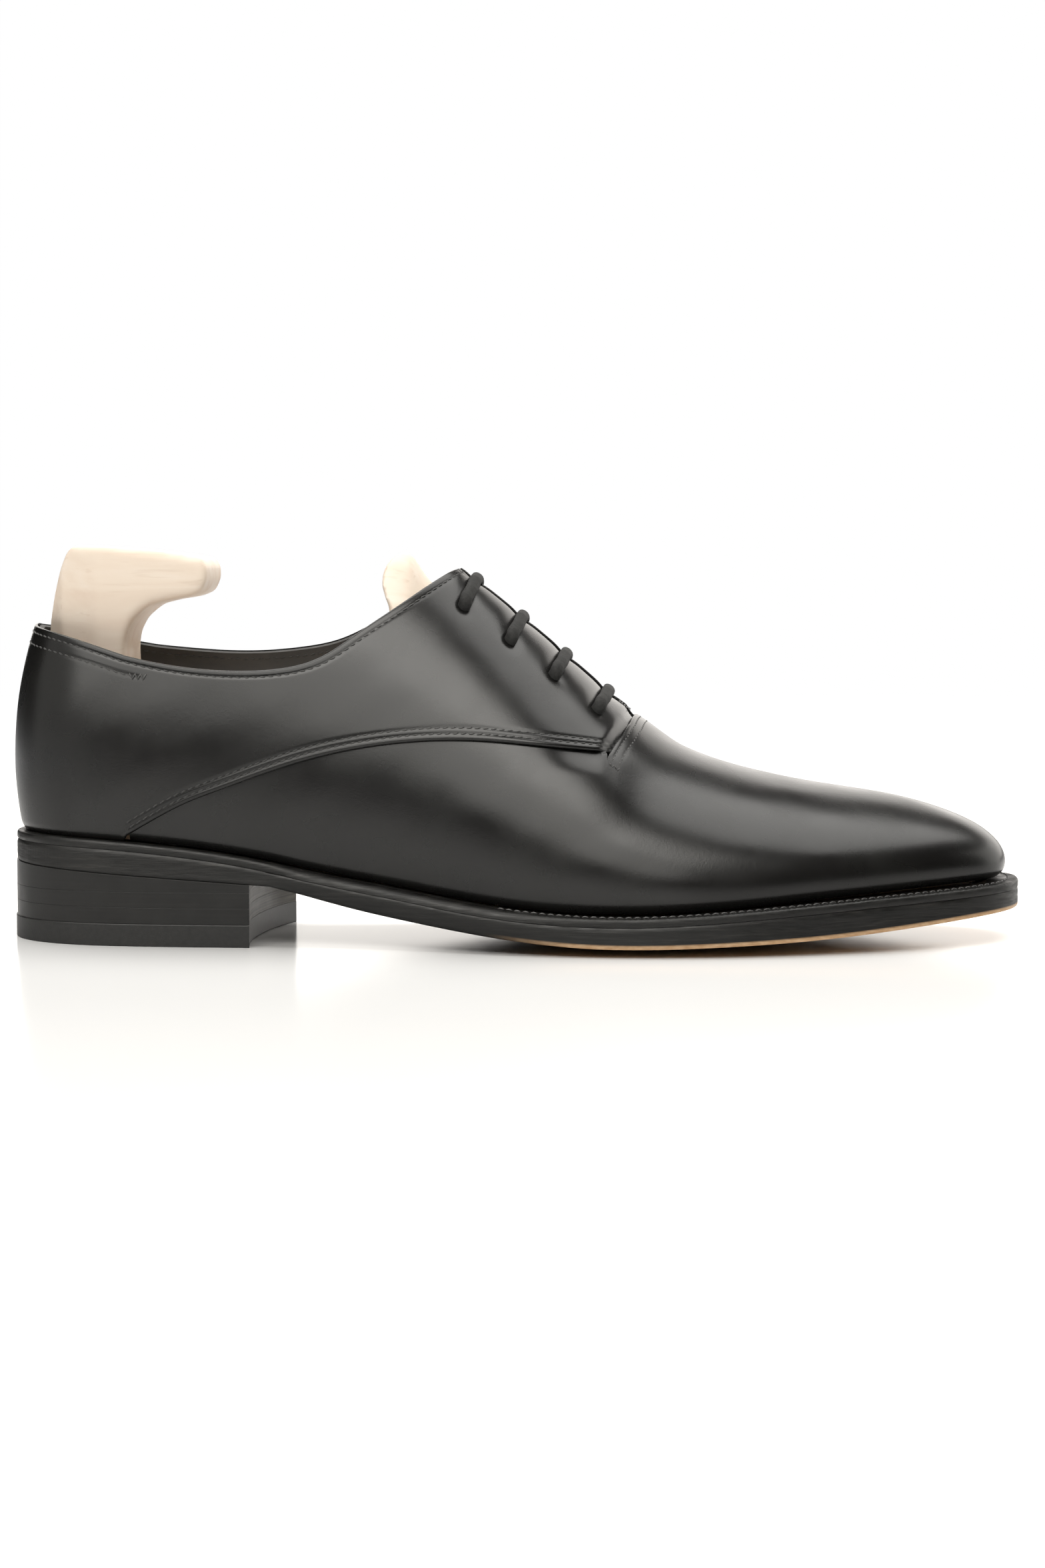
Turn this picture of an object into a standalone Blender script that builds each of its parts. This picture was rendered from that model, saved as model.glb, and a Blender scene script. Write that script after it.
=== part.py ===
"""Right-foot leather oxford shoe, laced, with its hinged wooden shoe tree inside.

The outside of the shoe is a last: a surface made of ribs.  A rib starts on the
feather line, where the upper meets the welt, and rises to the spine, the line
over the middle of the foot.  A place on it is (side, station, angle):
    side     -1 lateral (towards -Y), +1 medial
    station  0 at the heel's back, 1 at the toe's tip
    angle    0 on the feather line, 90 degrees on the spine
Each leather layer is a panel at its own depth under that surface.
Shapes are worked out in millimetres and become metres when a mesh is made.
"""
import math

import bmesh
import bpy
import numpy as np
from mathutils import Vector

MM = 0.001
COLLECTION = "leather_oxford_shoe"
HALF_TURN = math.pi / 2
GAP = 0.3

# ---- The last: plan curves and heights, mm
SOLE_OUTLINE = (
    (-151.4, -3), (-146, -18.2), (-131, -29.2), (-108.5, -33.5), (-80, -34.5), (-50, -36), (-20, -42),
    (10, -49.5), (36, -51.8), (66, -48.5), (96, -39.5), (120, -28.6), (138, -18), (147.8, -8),
    (151, 5), (150, 16.5), (142.8, 27), (128, 35), (106, 43.5), (78, 50), (52, 51.6), (24, 46),
    (-5, 36), (-35, 29.5), (-65, 28.5), (-95, 29.5), (-121.5, 27.2), (-141.4, 17.3), (-149.9, 6),
)
FEATHER_INSET = ((-150, 2.4), (-100, 3.0), (-70, 3.6), (-30, 4.6), (20, 5.6), (60, 5.8), (120, 5.2), (150, 4.6))
FEATHER_HEIGHT = (
    (-150, 32.4), (-120, 31.2), (-96, 29.0), (-78, 26.4), (-56, 21.9), (-34, 18.0), (-12, 14.4),
    (12, 12.0), (36, 11.4), (62, 12.6), (95, 15.0), (125, 17.0), (150, 18.6),
)
SPINE_HEIGHT = (
    (-113, 136), (-80, 134), (-50, 126.5), (-20, 112.5), (0, 97), (20, 79.6), (36, 66.4),
    (52, 57.4), (72, 51), (95, 46.6), (112, 44.2),
)
SPINE_Y = ((-113, -2.5), (-70, -1), (-20, 1.5), (30, 5), (80, 7.5), (112, 8.5))
BULGE = ((-113, 3.6), (-80, 4.0), (-40, 4.8), (0, 4.0), (40, 2.6), (80, 2.6), (112, 3.0))
BULGE_RISE, BULGE_FALL = 1.0, 1.7
HEEL_FAN_X, TOE_FAN_X = -113.0, 104.0
HEEL_FAN, TOE_FAN = 0.17, 0.82

# ---- Panel edges, (station, height) and (station, angle)
TOPLINE = {
    -1: ((0, 94.3), (0.07, 92), (0.147, 87.1), (0.2, 83.2), (0.26, 81), (0.308, 81.7), (0.343, 85.1),
         (0.376, 92.4), (0.409, 100), (0.432, 105.5), (0.47, 114)),
    1: ((0, 94.3), (0.07, 92.2), (0.145, 88.2), (0.2, 86.1), (0.26, 85.3), (0.308, 86.6), (0.343, 89.2),
        (0.376, 94.5), (0.409, 100.8), (0.432, 105.7), (0.47, 114)),
}
SIDE_SEAM = ((0.168, 31.8), (0.188, 35.7), (0.226, 42.4), (0.253, 45.9), (0.32, 53.9), (0.426, 60.7),
             (0.483, 61.2), (0.538, 59.7), (0.593, 57.7), (0.64, 55.5))
THROAT = ((0.593, 0.80), (0.6, 0.95), (0.606, 1.08), (0.612, 1.28), (0.6155, HALF_TURN))
THROAT_STATIONS = (0.5745, 0.582, 0.588, 0.593, 0.6, 0.606, 0.612, 0.6155)
FACING_SLIT = 2.0
SEAM_LAP = 6.0
EYELET_STATIONS = (0.465, 0.506, 0.545, 0.583)
EYELET_ANGLE = 1.12

# ---- Depth of each layer's outer face under the last's surface, and its thickness
QUARTER_DEPTH, QUARTER_THICK = -0.5, 0.9
QUARTER_UNDER_VAMP = 2.4
VAMP_DEPTH, VAMP_THICK, VAMP_MOUTH_RISE = 0.95, 0.85, 0.35
STIFFENER_DEPTH, STIFFENER_THICK = 2.15, 0.85
LINING_DEPTH, LINING_THICK = 3.6, 0.7
TONGUE_DEPTH, TONGUE_END_DEPTH, TONGUE_THICK = 8.2, 4.8, 1.2
TREE_DEPTH, TREE_LACE_DEPTH = 5.0, 10.0

# ---- Bottom parts
WELT_THICK = 2.7
WELT_IN = 9.0
RIB_IN, RIB_WIDTH = 9.3, 2.0
INSOLE_IN, INSOLE_THICK = 4.8, 3.0
SOCK_THICK = 1.0
CORK_IN = 11.7
SOLE_EDGE = ((-150, 23.2), (-70, 18.0), (-60, 15.3), (-44, 11.4), (-28, 8.4), (-12, 5.9), (8, 3.6),
             (30, 2.5), (60, 3.0), (95, 4.8), (120, 7.0), (150, 10.2))
SOLE_CROWN = ((-70, 0), (-44, 0.8), (-12, 1.8), (8, 2.3), (30, 2.45), (60, 2.2), (95, 1.8), (150, 1.2))
BREAST_LATERAL_X, BREAST_MEDIAL_X, BREAST_HOLLOW = -76.0, -71.0, 4.0
TOP_PIECE_THICK, TOP_PIECE_OUT, LIFT_OUT = 6.6, 1.0, 0.2
LIFT_TOPS = (11.4, 16.0)
NAIL_PLACES = ((-136, -3), (-122, -19), (-122, 14), (-96, -22), (-94, 17))
NAIL_RADIUS, NAIL_HOLE_RADIUS = 1.0, 1.5
SHANK_START, SHANK_END, SHANK_HALF_WIDTH, SHANK_THICK = -100.0, -16.0, 6.0, 1.3

# ---- Lace and eyelets
LACE_RADIUS, LACE_BEND, LACE_LEAN = 1.4, 1.8, 0.009
LACE_START = ((0.44, 0.68), (0.475, 0.68), (0.51, 0.7), (0.545, 0.76), (0.57, 0.9))
LACE_END = ((0.468, 0.84), (0.478, 0.72), (0.5, 0.68), (0.53, 0.7), (0.56, 0.73))
EYELET_BORE, EYELET_OUTSIDE, EYELET_FLANGE = 2.15, 2.6, 3.2
EYELET_TOP, EYELET_END = 1.75, 4.7
QUARTER_HOLE, LINING_HOLE = 2.5, 3.05
LACE_OVER, LACE_UNDER = QUARTER_DEPTH - LACE_BEND - 0.05, EYELET_END + LACE_BEND

# ---- Shoe tree
TREE_Y = -2.0
PIVOT = (-39.6, TREE_Y, 50.0)
PIN_RADIUS, KNUCKLE_BORE, KNUCKLE_RADIUS = 1.4, 1.5, 2.5
HINGE_WIDTH, HINGE_DROP, LEAF_THICK, LEAF_OFFSET = 24.0, 18.0, 1.2, 2.1
KNUCKLE_ENDS = {1: ((-12.0, -4.2), (4.2, 12.0)), -1: ((-3.9, 3.9),)}
SCREW_RADIUS, SCREW_ROOM, SCREW_HEAD, SCREW_HEAD_THICK, SCREW_LENGTH = 1.2, 1.55, 2.4, 0.8, 10.0
SCREW_DROP = 11.0
SCREW_ASIDE = {1: 8.5, -1: 3.8}
FOREPART_BACK, BLOCK_FRONT = -37.2, -42.0
HANDLE_HALF_WIDTH, HANDLE_ROUNDING = 14.0, 2.2
HANDLE_OUTLINE = (
    (-131.2, 117.8), (-112, 116.4), (-91.8, 114.2), (-91, 108.5), (-92.4, 103.8), (-95.2, 102.4),
    (-102.5, 101.6), (-108.8, 100.2), (-113.4, 96.3), (-115.8, 92), (-116.6, 87), (-116, 80),
    (-111, 68), (-100, 54), (-129, 52), (-136.4, 66), (-138.6, 80), (-139.2, 92), (-137.8, 101.5), (-134.9, 111),
)
HANDLE_PLAN = (
    (-85, -14), (-110, -14), (-124, -13.6), (-134.4, -9.5), (-139.3, 0), (-134.4, 9.5), (-124, 13.6),
    (-110, 14), (-85, 14),
)
BLOCK_PLAN = (
    (-60, -16.5), (-100, -16.5), (-116, -15.5), (-127, -10.5), (-132, 0), (-127, 10.5), (-116, 15.5),
    (-100, 16.5), (-60, 16.5),
)
BLOCK_TOP = ((-135, 63), (-110, 62), (-70, 56.5), (-42, 50.5))


# ---------------------------------------------------------------- curves
def through(points):
    """The smooth function through (x, y) points, straight beyond its ends."""
    x, y = np.array(points, float).T
    step = np.diff(x)
    rise = np.diff(y) / step
    system, right = np.eye(len(x)), np.zeros(len(x))
    for i in range(1, len(x) - 1):
        system[i, i - 1:i + 2] = step[i - 1], 2 * (step[i - 1] + step[i]), step[i]
        right[i] = 6 * (rise[i] - rise[i - 1])
    bend = np.linalg.solve(system, right)
    first = rise[0] - step[0] * bend[1] / 6
    last = rise[-1] + step[-1] * bend[-2] / 6

    def value(at):
        at = np.asarray(at, float)
        inside = np.clip(at, x[0], x[-1])
        k = np.clip(np.searchsorted(x, inside, side="right") - 1, 0, len(step) - 1)
        a, h = inside - x[k], step[k]
        b = h - a
        curve = (bend[k] * b**3 + bend[k + 1] * a**3) / (6 * h)
        line = (y[k] / h - bend[k] * h / 6) * b + (y[k + 1] / h - bend[k + 1] * h / 6) * a
        return curve + line + first * np.minimum(at - x[0], 0) + last * np.maximum(at - x[-1], 0)

    return value


def loop_through(points, count=1600):
    """A smooth closed plan curve through the points, as many points of it."""
    corner = np.array(points, float)
    chord = np.linalg.norm(np.roll(corner, -1, 0) - corner, axis=1)
    size = len(corner)
    system, right = np.zeros((size, size)), np.zeros((size, 2))
    for i in range(size):
        before, after, following = chord[i - 1], chord[i], (i + 1) % size
        system[i, (i - 1) % size] += before
        system[i, i] += 2 * (before + after)
        system[i, following] += after
        right[i] = 6 * ((corner[following] - corner[i]) / after - (corner[i] - corner[i - 1]) / before)
    bend = np.linalg.solve(system, right)
    reach = np.concatenate([[0], np.cumsum(chord)])
    place = np.linspace(0, reach[-1], count, endpoint=False)
    k = np.searchsorted(reach, place, side="right") - 1
    after = (k + 1) % size
    h = chord[k][:, None]
    a = (place - reach[k])[:, None]
    b = h - a
    curve = (bend[k] * b**3 + bend[after] * a**3) / (6 * h)
    return curve + (corner[k] / h - bend[k] * h / 6) * b + (corner[after] / h - bend[after] * h / 6) * a


def moved_in(loop, distance):
    """A closed counter-clockwise plan curve moved towards its inside."""
    along = np.roll(loop, -1, 0) - np.roll(loop, 1, 0)
    along /= np.linalg.norm(along, axis=1)[:, None]
    inward = np.stack([-along[:, 1], along[:, 0]], 1)
    return loop + inward * np.broadcast_to(distance, len(loop))[:, None]


def smooth_step(value, start, end):
    part = np.clip((value - start) / (end - start), 0, 1)
    return part * part * (3 - 2 * part)


feather_height = through(FEATHER_HEIGHT)
spine_height = through(SPINE_HEIGHT)
spine_y = through(SPINE_Y)
bulge = through(BULGE)
forepart_edge = through(SOLE_EDGE[1:])
sole_crown = through(SOLE_CROWN)
side_seam_height = through(SIDE_SEAM)
topline_height = {side: through(points) for side, points in TOPLINE.items()}

SOLE_LOOP = loop_through(SOLE_OUTLINE)
FEATHER_LOOP = moved_in(SOLE_LOOP, through(FEATHER_INSET)(SOLE_LOOP[:, 0]))


# ---------------------------------------------------------------- the last
def spine_x(station):
    part = np.clip((station - HEEL_FAN) / (TOE_FAN - HEEL_FAN), 0, 1)
    return HEEL_FAN_X + (TOE_FAN_X - HEEL_FAN_X) * part


def station_at(x):
    return HEEL_FAN + (TOE_FAN - HEEL_FAN) * (x - HEEL_FAN_X) / (TOE_FAN_X - HEEL_FAN_X)


class Plan:
    """A closed plan curve, read by side and station."""

    def __init__(self, loop):
        loop = np.roll(loop, -int(np.argmin(loop[:, 0])), 0)
        tip = int(np.argmax(loop[:, 0]))
        self.halves = {-1: loop[:tip + 1], 1: np.vstack([loop[tip:], loop[:1]])[::-1]}

    def at(self, side, station):
        """Points for arrays of sides and stations; past an end the curve goes on round the other side."""
        side, station = np.broadcast_arrays(np.asarray(side), np.asarray(station, float))
        beyond = (station < 0) | (station > 1)
        side = np.where(beyond, -side, side)
        station = np.abs(station)
        station = 1 - np.abs(1 - station)
        found = np.zeros(station.shape + (2,))
        for one_side, half in self.halves.items():
            self.read_half(one_side, half, station, side == one_side, found)
        return found

    @staticmethod
    def read_half(side, half, station, chosen, found):
        heel = chosen & (station < HEEL_FAN)
        toe = chosen & (station > TOE_FAN)
        middle = chosen & ~heel & ~toe
        near = half[half[:, 0] < HEEL_FAN_X + 8]
        turn = np.arctan2(side * (near[:, 1] - spine_y(HEEL_FAN_X)), HEEL_FAN_X - near[:, 0])
        for axis in (0, 1):
            found[heel, axis] = np.interp(station[heel] / HEEL_FAN * HALF_TURN, turn, near[:, axis])
        far = half[half[:, 0] > TOE_FAN_X - 8][::-1]
        turn = np.arctan2(side * (far[:, 1] - spine_y(TOE_FAN_X)), far[:, 0] - TOE_FAN_X)
        angle = (1 - station[toe]) / (1 - TOE_FAN) * HALF_TURN
        for axis in (0, 1):
            found[toe, axis] = np.interp(angle, turn, far[:, axis])
        between = half[(half[:, 0] > -140) & (half[:, 0] < 140)]
        found[middle, 0] = spine_x(station[middle])
        found[middle, 1] = np.interp(found[middle, 0], between[:, 0], between[:, 1])


SOLE_PLAN = Plan(SOLE_LOOP)
FEATHER_PLAN = Plan(FEATHER_LOOP)
TOE_SLOPE = float(spine_height(TOE_FAN_X + 1) - spine_height(TOE_FAN_X - 1)) / 2
BULGE_TOP = BULGE_RISE / (BULGE_RISE + BULGE_FALL)
BULGE_SCALE = BULGE_TOP**BULGE_RISE * (1 - BULGE_TOP)**BULGE_FALL


def spine_point(station):
    x = spine_x(np.asarray(station, float))
    return np.stack([x, spine_y(x)], -1)


def last_surface(side, station, angle):
    """The last's surface, as an array of points."""
    side, station, angle = np.broadcast_arrays(side, np.asarray(station, float), np.asarray(angle, float))
    foot = FEATHER_PLAN.at(side, station)
    folded = 1 - np.abs(1 - np.abs(station))
    top = spine_point(folded)
    reach = np.linalg.norm(foot - top, axis=-1)
    away = (foot - top) / reach[..., None]
    low = feather_height(foot[..., 0])
    rise = np.clip(np.sin(angle), 0, 1)
    swell = rise**BULGE_RISE * (1 - rise)**BULGE_FALL / BULGE_SCALE
    out = reach * np.maximum(np.cos(angle), 0) + bulge(top[..., 0]) * swell
    height = low + (spine_height(top[..., 0]) - low) * rise
    toe = np.sin(np.clip((folded - TOE_FAN) / (1 - TOE_FAN), 0, 1) * HALF_TURN)
    height = height + toe * TOE_SLOPE * out * np.maximum(0, 1 - out / reach)**1.2
    return np.concatenate([top + away * out[..., None], height[..., None]], -1)


def last_normal(side, station, angle):
    """The outward normal; on the spine it has no sideways part."""
    side, station, angle = np.broadcast_arrays(side, np.asarray(station, float), np.asarray(angle, float))
    tilt = np.clip(angle, 0.02, HALF_TURN - 0.04)
    along = last_surface(side, station + 0.002, tilt) - last_surface(side, station - 0.002, tilt)
    up = last_surface(side, station, tilt + 0.02) - last_surface(side, station, tilt - 0.02)
    normal = np.cross(along, up) * -side[..., None]
    normal /= np.linalg.norm(normal, axis=-1)[..., None]
    x = spine_x(station)
    slope = (spine_height(x + 1) - spine_height(x - 1)) / 2
    ridge = np.stack([-slope, np.zeros_like(slope), np.ones_like(slope)], -1)
    ridge /= np.linalg.norm(ridge, axis=-1)[..., None]
    part = smooth_step(angle, HALF_TURN - 0.12, HALF_TURN - 0.01)[..., None]
    normal = normal * (1 - part) + ridge * part
    return normal / np.linalg.norm(normal, axis=-1)[..., None]


def under_surface(side, station, angle, depth):
    """A point this deep under the surface, and never below the feather line."""
    place = last_surface(side, station, angle) - last_normal(side, station, angle) * np.asarray(depth)[..., None]
    place[..., 2] = np.maximum(place[..., 2], feather_height(place[..., 0]))
    return place


def angle_at_height(side, station, height):
    low = feather_height(FEATHER_PLAN.at(side, station)[..., 0])
    top = spine_height(spine_x(station))
    return np.arcsin(np.clip((height - low) / (top - low), 0, 1))


def angle_beside_spine(side, station, distance):
    reach = np.linalg.norm(FEATHER_PLAN.at(side, station) - spine_point(station), axis=-1)
    return np.arccos(np.clip(distance / reach, 0, 1))


def topline_angle(side, station):
    """The collar and then the facing's edge, with a rounded corner between them."""
    height = np.where(side < 0, topline_height[-1](station), topline_height[1](station))
    collar = np.where(station < 0.46, angle_at_height(side, station, height), HALF_TURN)
    facing = angle_beside_spine(side, station, FACING_SLIT)
    blend = 0.07
    part = np.clip(0.5 + (collar - facing) / (2 * blend), 0, 1)
    return collar * (1 - part) + facing * part - blend * part * (1 - part)


# ---------------------------------------------------------------- Blender helpers
def clear_scene():
    for old in list(bpy.data.objects):
        bpy.data.objects.remove(old, do_unlink=True)
    for name in (COLLECTION, "cutters"):
        group = bpy.data.collections.new(name)
        bpy.context.scene.collection.children.link(group)


def put_in(obj, group):
    for old in list(obj.users_collection):
        old.objects.unlink(obj)
    bpy.data.collections[group].objects.link(obj)


def material(name, colour, roughness, metallic=0.0):
    found = bpy.data.materials.get(name)
    if found:
        return found
    made = bpy.data.materials.new(name)
    made.use_nodes = True
    shader = made.node_tree.nodes["Principled BSDF"]
    shader.inputs["Base Color"].default_value = (*colour, 1)
    shader.inputs["Roughness"].default_value = roughness
    shader.inputs["Metallic"].default_value = metallic
    return made


def box_calf():
    return material("black_box_calf", (0.018, 0.017, 0.016), 0.32)


def lining_leather():
    return material("lining_leather", (0.05, 0.045, 0.04), 0.6)


def bottom_leather():
    return material("sole_leather", (0.028, 0.026, 0.024), 0.4)


def insole_leather():
    return material("insole_leather", (0.5, 0.34, 0.2), 0.65)


def leather_board():
    return material("leather_board", (0.3, 0.2, 0.12), 0.8)


def cork():
    return material("cork", (0.42, 0.27, 0.14), 0.9)


def steel():
    return material("steel", (0.6, 0.6, 0.58), 0.3, 1.0)


def brass():
    return material("brass", (0.72, 0.5, 0.2), 0.35, 1.0)


def rubber():
    return material("black_rubber", (0.02, 0.02, 0.02), 0.7)


def waxed_cotton():
    return material("waxed_cotton", (0.02, 0.02, 0.02), 0.75)


def beech():
    return material("beech_wood", (0.86, 0.68, 0.48), 0.5)


def add_object(name, mesh, look, group=COLLECTION):
    obj = bpy.data.objects.new(name, mesh)
    bpy.data.collections[group].objects.link(obj)
    if look:
        mesh.materials.append(look)
    return obj


def finish_mesh(name, bm, look, group=COLLECTION, smooth_angle=40):
    """Weld, face outwards, scale to metres and make the object."""
    bmesh.ops.remove_doubles(bm, verts=bm.verts, dist=0.01)
    bmesh.ops.dissolve_degenerate(bm, dist=1e-4, edges=bm.edges)
    bmesh.ops.recalc_face_normals(bm, faces=bm.faces)
    bmesh.ops.scale(bm, vec=(MM, MM, MM), verts=bm.verts)
    mesh = bpy.data.meshes.new(name)
    bm.to_mesh(mesh)
    bm.free()
    mesh.shade_smooth()
    mesh.set_sharp_from_angle(angle=math.radians(smooth_angle))
    return add_object(name, mesh, look, group)


def warped_grid(columns, rows, place):
    """A grid of columns x rows faces whose corners go where place(column, row) says."""
    bm = bmesh.new()
    bmesh.ops.create_grid(bm, x_segments=columns, y_segments=rows, size=1)
    corner = np.array([vert.co[:2] for vert in bm.verts])
    column = np.rint((corner[:, 0] + 1) / 2 * columns).astype(int)
    row = np.rint((corner[:, 1] + 1) / 2 * rows).astype(int)
    for vert, point in zip(bm.verts, place(column, row)):
        vert.co = point
    return bm


def solidify(obj, thick):
    shell = obj.modifiers.new("thickness", "SOLIDIFY")
    shell.thickness = thick * MM
    shell.offset = -1
    shell.use_even_offset = True
    return shell


def cut(obj, cutter, operation="DIFFERENCE"):
    boolean = obj.modifiers.new(cutter.name, "BOOLEAN")
    boolean.object = cutter
    boolean.operation = operation
    boolean.solver = "EXACT"
    cutter.hide_render = True
    cutter.display_type = "WIRE"
    put_in(cutter, "cutters")
    return boolean


def rod(name, start, end, radius, look, group=COLLECTION, sides=12):
    """A straight round bar between two points, mm."""
    start, end = Vector(start) * MM, Vector(end) * MM
    bm = bmesh.new()
    bmesh.ops.create_cone(
        bm, cap_ends=True, segments=sides, radius1=radius * MM, radius2=radius * MM, depth=(end - start).length
    )
    mesh = bpy.data.meshes.new(name)
    bm.to_mesh(mesh)
    bm.free()
    obj = add_object(name, mesh, look, group)
    obj.location = (start + end) / 2
    obj.rotation_euler = (end - start).to_track_quat("Z", "Y").to_euler()
    return obj


def turned(name, profile, foot, axis, look, steps=12):
    """A turned piece: a closed (radius, height) profile round an axis that starts at foot."""
    bm = bmesh.new()
    verts = [bm.verts.new((radius * MM, 0, height * MM)) for radius, height in profile]
    for one, other in zip(verts, verts[1:] + verts[:1]):
        if one.co.x > 1e-6 or other.co.x > 1e-6:
            bm.edges.new((one, other))
    mesh = bpy.data.meshes.new(name)
    bm.to_mesh(mesh)
    bm.free()
    obj = add_object(name, mesh, look)
    screw = obj.modifiers.new("turn", "SCREW")
    screw.steps = screw.render_steps = steps
    screw.use_merge_vertices = True
    screw.merge_threshold = 1e-5
    obj.location = Vector(foot) * MM
    obj.rotation_euler = Vector(axis).to_track_quat("Z", "Y").to_euler()
    return obj


def flat_shape(name, outline, half_depth, look, group=COLLECTION):
    """A 2D curve through (x, z) points, filled and extruded along Y, then welded into one mesh."""
    curve = bpy.data.curves.new(name, "CURVE")
    curve.dimensions = "2D"
    curve.fill_mode = "BOTH"
    curve.extrude = half_depth * MM
    spline = curve.splines.new("POLY")
    spline.points.add(len(outline) - 1)
    for point, (x, z) in zip(spline.points, outline):
        point.co = (x * MM, z * MM, 0, 1)
    spline.use_cyclic_u = True
    drawn = bpy.data.objects.new(name + "_outline", curve)
    bpy.data.collections[group].objects.link(drawn)
    drawn.rotation_euler = (HALF_TURN, 0, 0)
    drawn.location = (0, TREE_Y * MM, 0)
    bpy.context.view_layer.update()
    shown = drawn.evaluated_get(bpy.context.evaluated_depsgraph_get())
    mesh = bpy.data.meshes.new_from_object(shown)
    mesh.transform(drawn.matrix_world)
    bpy.data.objects.remove(drawn, do_unlink=True)
    bm = bmesh.new()
    bm.from_mesh(mesh)
    bmesh.ops.remove_doubles(bm, verts=bm.verts, dist=1e-6)
    bmesh.ops.recalc_face_normals(bm, faces=bm.faces)
    bm.to_mesh(mesh)
    bm.free()
    return add_object(name, mesh, look, group)


# ---------------------------------------------------------------- panels of the upper
BASE_STATIONS = np.array(
    [0, 3.4, 6.8, 10.2, 13.6, 17, 21, 25, 29.5, 34, 37.6, 40.9, 43.6, 46.5, 50.6, 54.4, 57.8,
     61.6, 65, 69, 73, 77.5, 82, 85.6, 89.2, 92.2, 94.8, 97.4, 100]
) / 100


def stations(start, end, extra=()):
    """The base stations between two ends, with the ends and any extra ones."""
    kept = [s for s in BASE_STATIONS if start + 0.006 < s < end - 0.006]
    kept = [s for s in kept if all(abs(s - other) > 0.004 for other in extra)]
    return np.array(sorted({start, end, *kept, *extra}))


def round_toe(one_side):
    """Sides and stations from the lateral side round the toe to the medial side."""
    sides = np.concatenate([np.full(len(one_side), -1), np.full(len(one_side) - 1, 1)])
    return sides, np.concatenate([one_side, one_side[-2::-1]])


def round_heel(one_side):
    """Sides and stations from the lateral side round the heel to the medial side."""
    sides = np.concatenate([np.full(len(one_side), -1), np.full(len(one_side) - 1, 1)])
    return sides, np.concatenate([one_side[::-1], one_side[1:]])


def panel(name, sides, at, rows, low_angle, high_angle, depth, thick, look):
    """A shell over columns at (sides, stations), between two edges given as angles.

    low_angle, high_angle and depth are functions of (side, station); depth also takes the angle.
    """
    low, high = low_angle(sides, at), high_angle(sides, at)

    def place(column, row):
        angle = low[column] + (high[column] - low[column]) * row / rows
        side, station = sides[column], at[column]
        return under_surface(side, station, angle, depth(side, station, angle))

    obj = finish_mesh(name, warped_grid(len(at) - 1, rows, place), look)
    face_outwards(obj)
    solidify(obj, thick)
    return obj


def face_outwards(obj):
    """An open sheet's normals turned away from the shoe's inside."""
    mesh = obj.data
    centre = Vector((0, 0, 0.04))
    total = 0.0
    for face in mesh.polygons:
        spine = Vector((min(max(face.center.x, -0.11), 0.1), centre.y, centre.z))
        total += face.normal.dot(face.center - spine) * face.area
    if total < 0:
        mesh.flip_normals()


def flat_depth(value):
    return lambda side, station, angle: np.full(np.shape(station), float(value))


def feather_edge(side, station):
    return np.zeros(np.shape(station))


def spine_edge(side, station):
    return np.full(np.shape(station), HALF_TURN)


def seam_edge(side, station, lift=0.0):
    angle = angle_at_height(side, station, side_seam_height(station) + lift)
    return np.where(station < SIDE_SEAM[0][0], 0.0, angle)


def throat_station(angle):
    line = np.array(THROAT)
    return np.interp(angle, line[:, 1], line[:, 0])


def throat_angle(station):
    line = np.array(THROAT)
    return np.interp(station, line[:, 0], line[:, 1])


def vamp_top(side, station):
    """Lapped under the quarter along the side, then up the throat and over the instep."""
    lap = (SEAM_LAP + GAP) * (1 - smooth_step(station, 0.48, 0.55)) - 2 * GAP
    under = angle_at_height(side, station, side_seam_height(station) + lap)
    return np.where(station < THROAT[0][0], under, throat_angle(station))


def quarter_depth(side, station, angle):
    """Over the vamp along the side, under it past the throat line."""
    line = throat_station(angle)
    part = smooth_step(station, line - 0.018, line - 0.005)
    return QUARTER_DEPTH + (QUARTER_UNDER_VAMP - QUARTER_DEPTH) * part


def vamp_depth(side, station, angle):
    """A little proud where its mouth lies over the quarters."""
    mouth = smooth_step(station, 0.575, 0.595) * (1 - smooth_step(station, 0.63, 0.67))
    return VAMP_DEPTH - VAMP_MOUTH_RISE * mouth


def make_vamp():
    one = stations(0.172, 1.0, extra=THROAT_STATIONS)
    sides, at = round_toe(one)
    return panel("vamp", sides, at, 7, feather_edge, vamp_top, vamp_depth, VAMP_THICK, box_calf())


def make_quarter(name, side):
    at = stations(0.0007, 0.64, extra=(0.168, 0.188, *THROAT_STATIONS, 0.628))
    sides = np.full(len(at), side)
    obj = panel(
        name, sides, at, 7, seam_edge, topline_angle, quarter_depth, QUARTER_THICK, box_calf()
    )
    for number, station in enumerate(EYELET_STATIONS, 1):
        cut(obj, eyelet_cutter(f"{name}_hole_{number}", side, station, QUARTER_HOLE))
    return obj


def make_quarter_lining():
    sides, at = round_heel(stations(0.0, 0.5745))
    obj = panel(
        "quarter_lining", sides, at, 7, feather_edge, topline_angle, flat_depth(LINING_DEPTH), LINING_THICK,
        lining_leather(),
    )
    for side in (-1, 1):
        for number, station in enumerate(EYELET_STATIONS[:3], 1):
            cut(obj, eyelet_cutter(f"lining_hole_{side + 2}_{number}", side, station, LINING_HOLE))
    return obj


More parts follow.
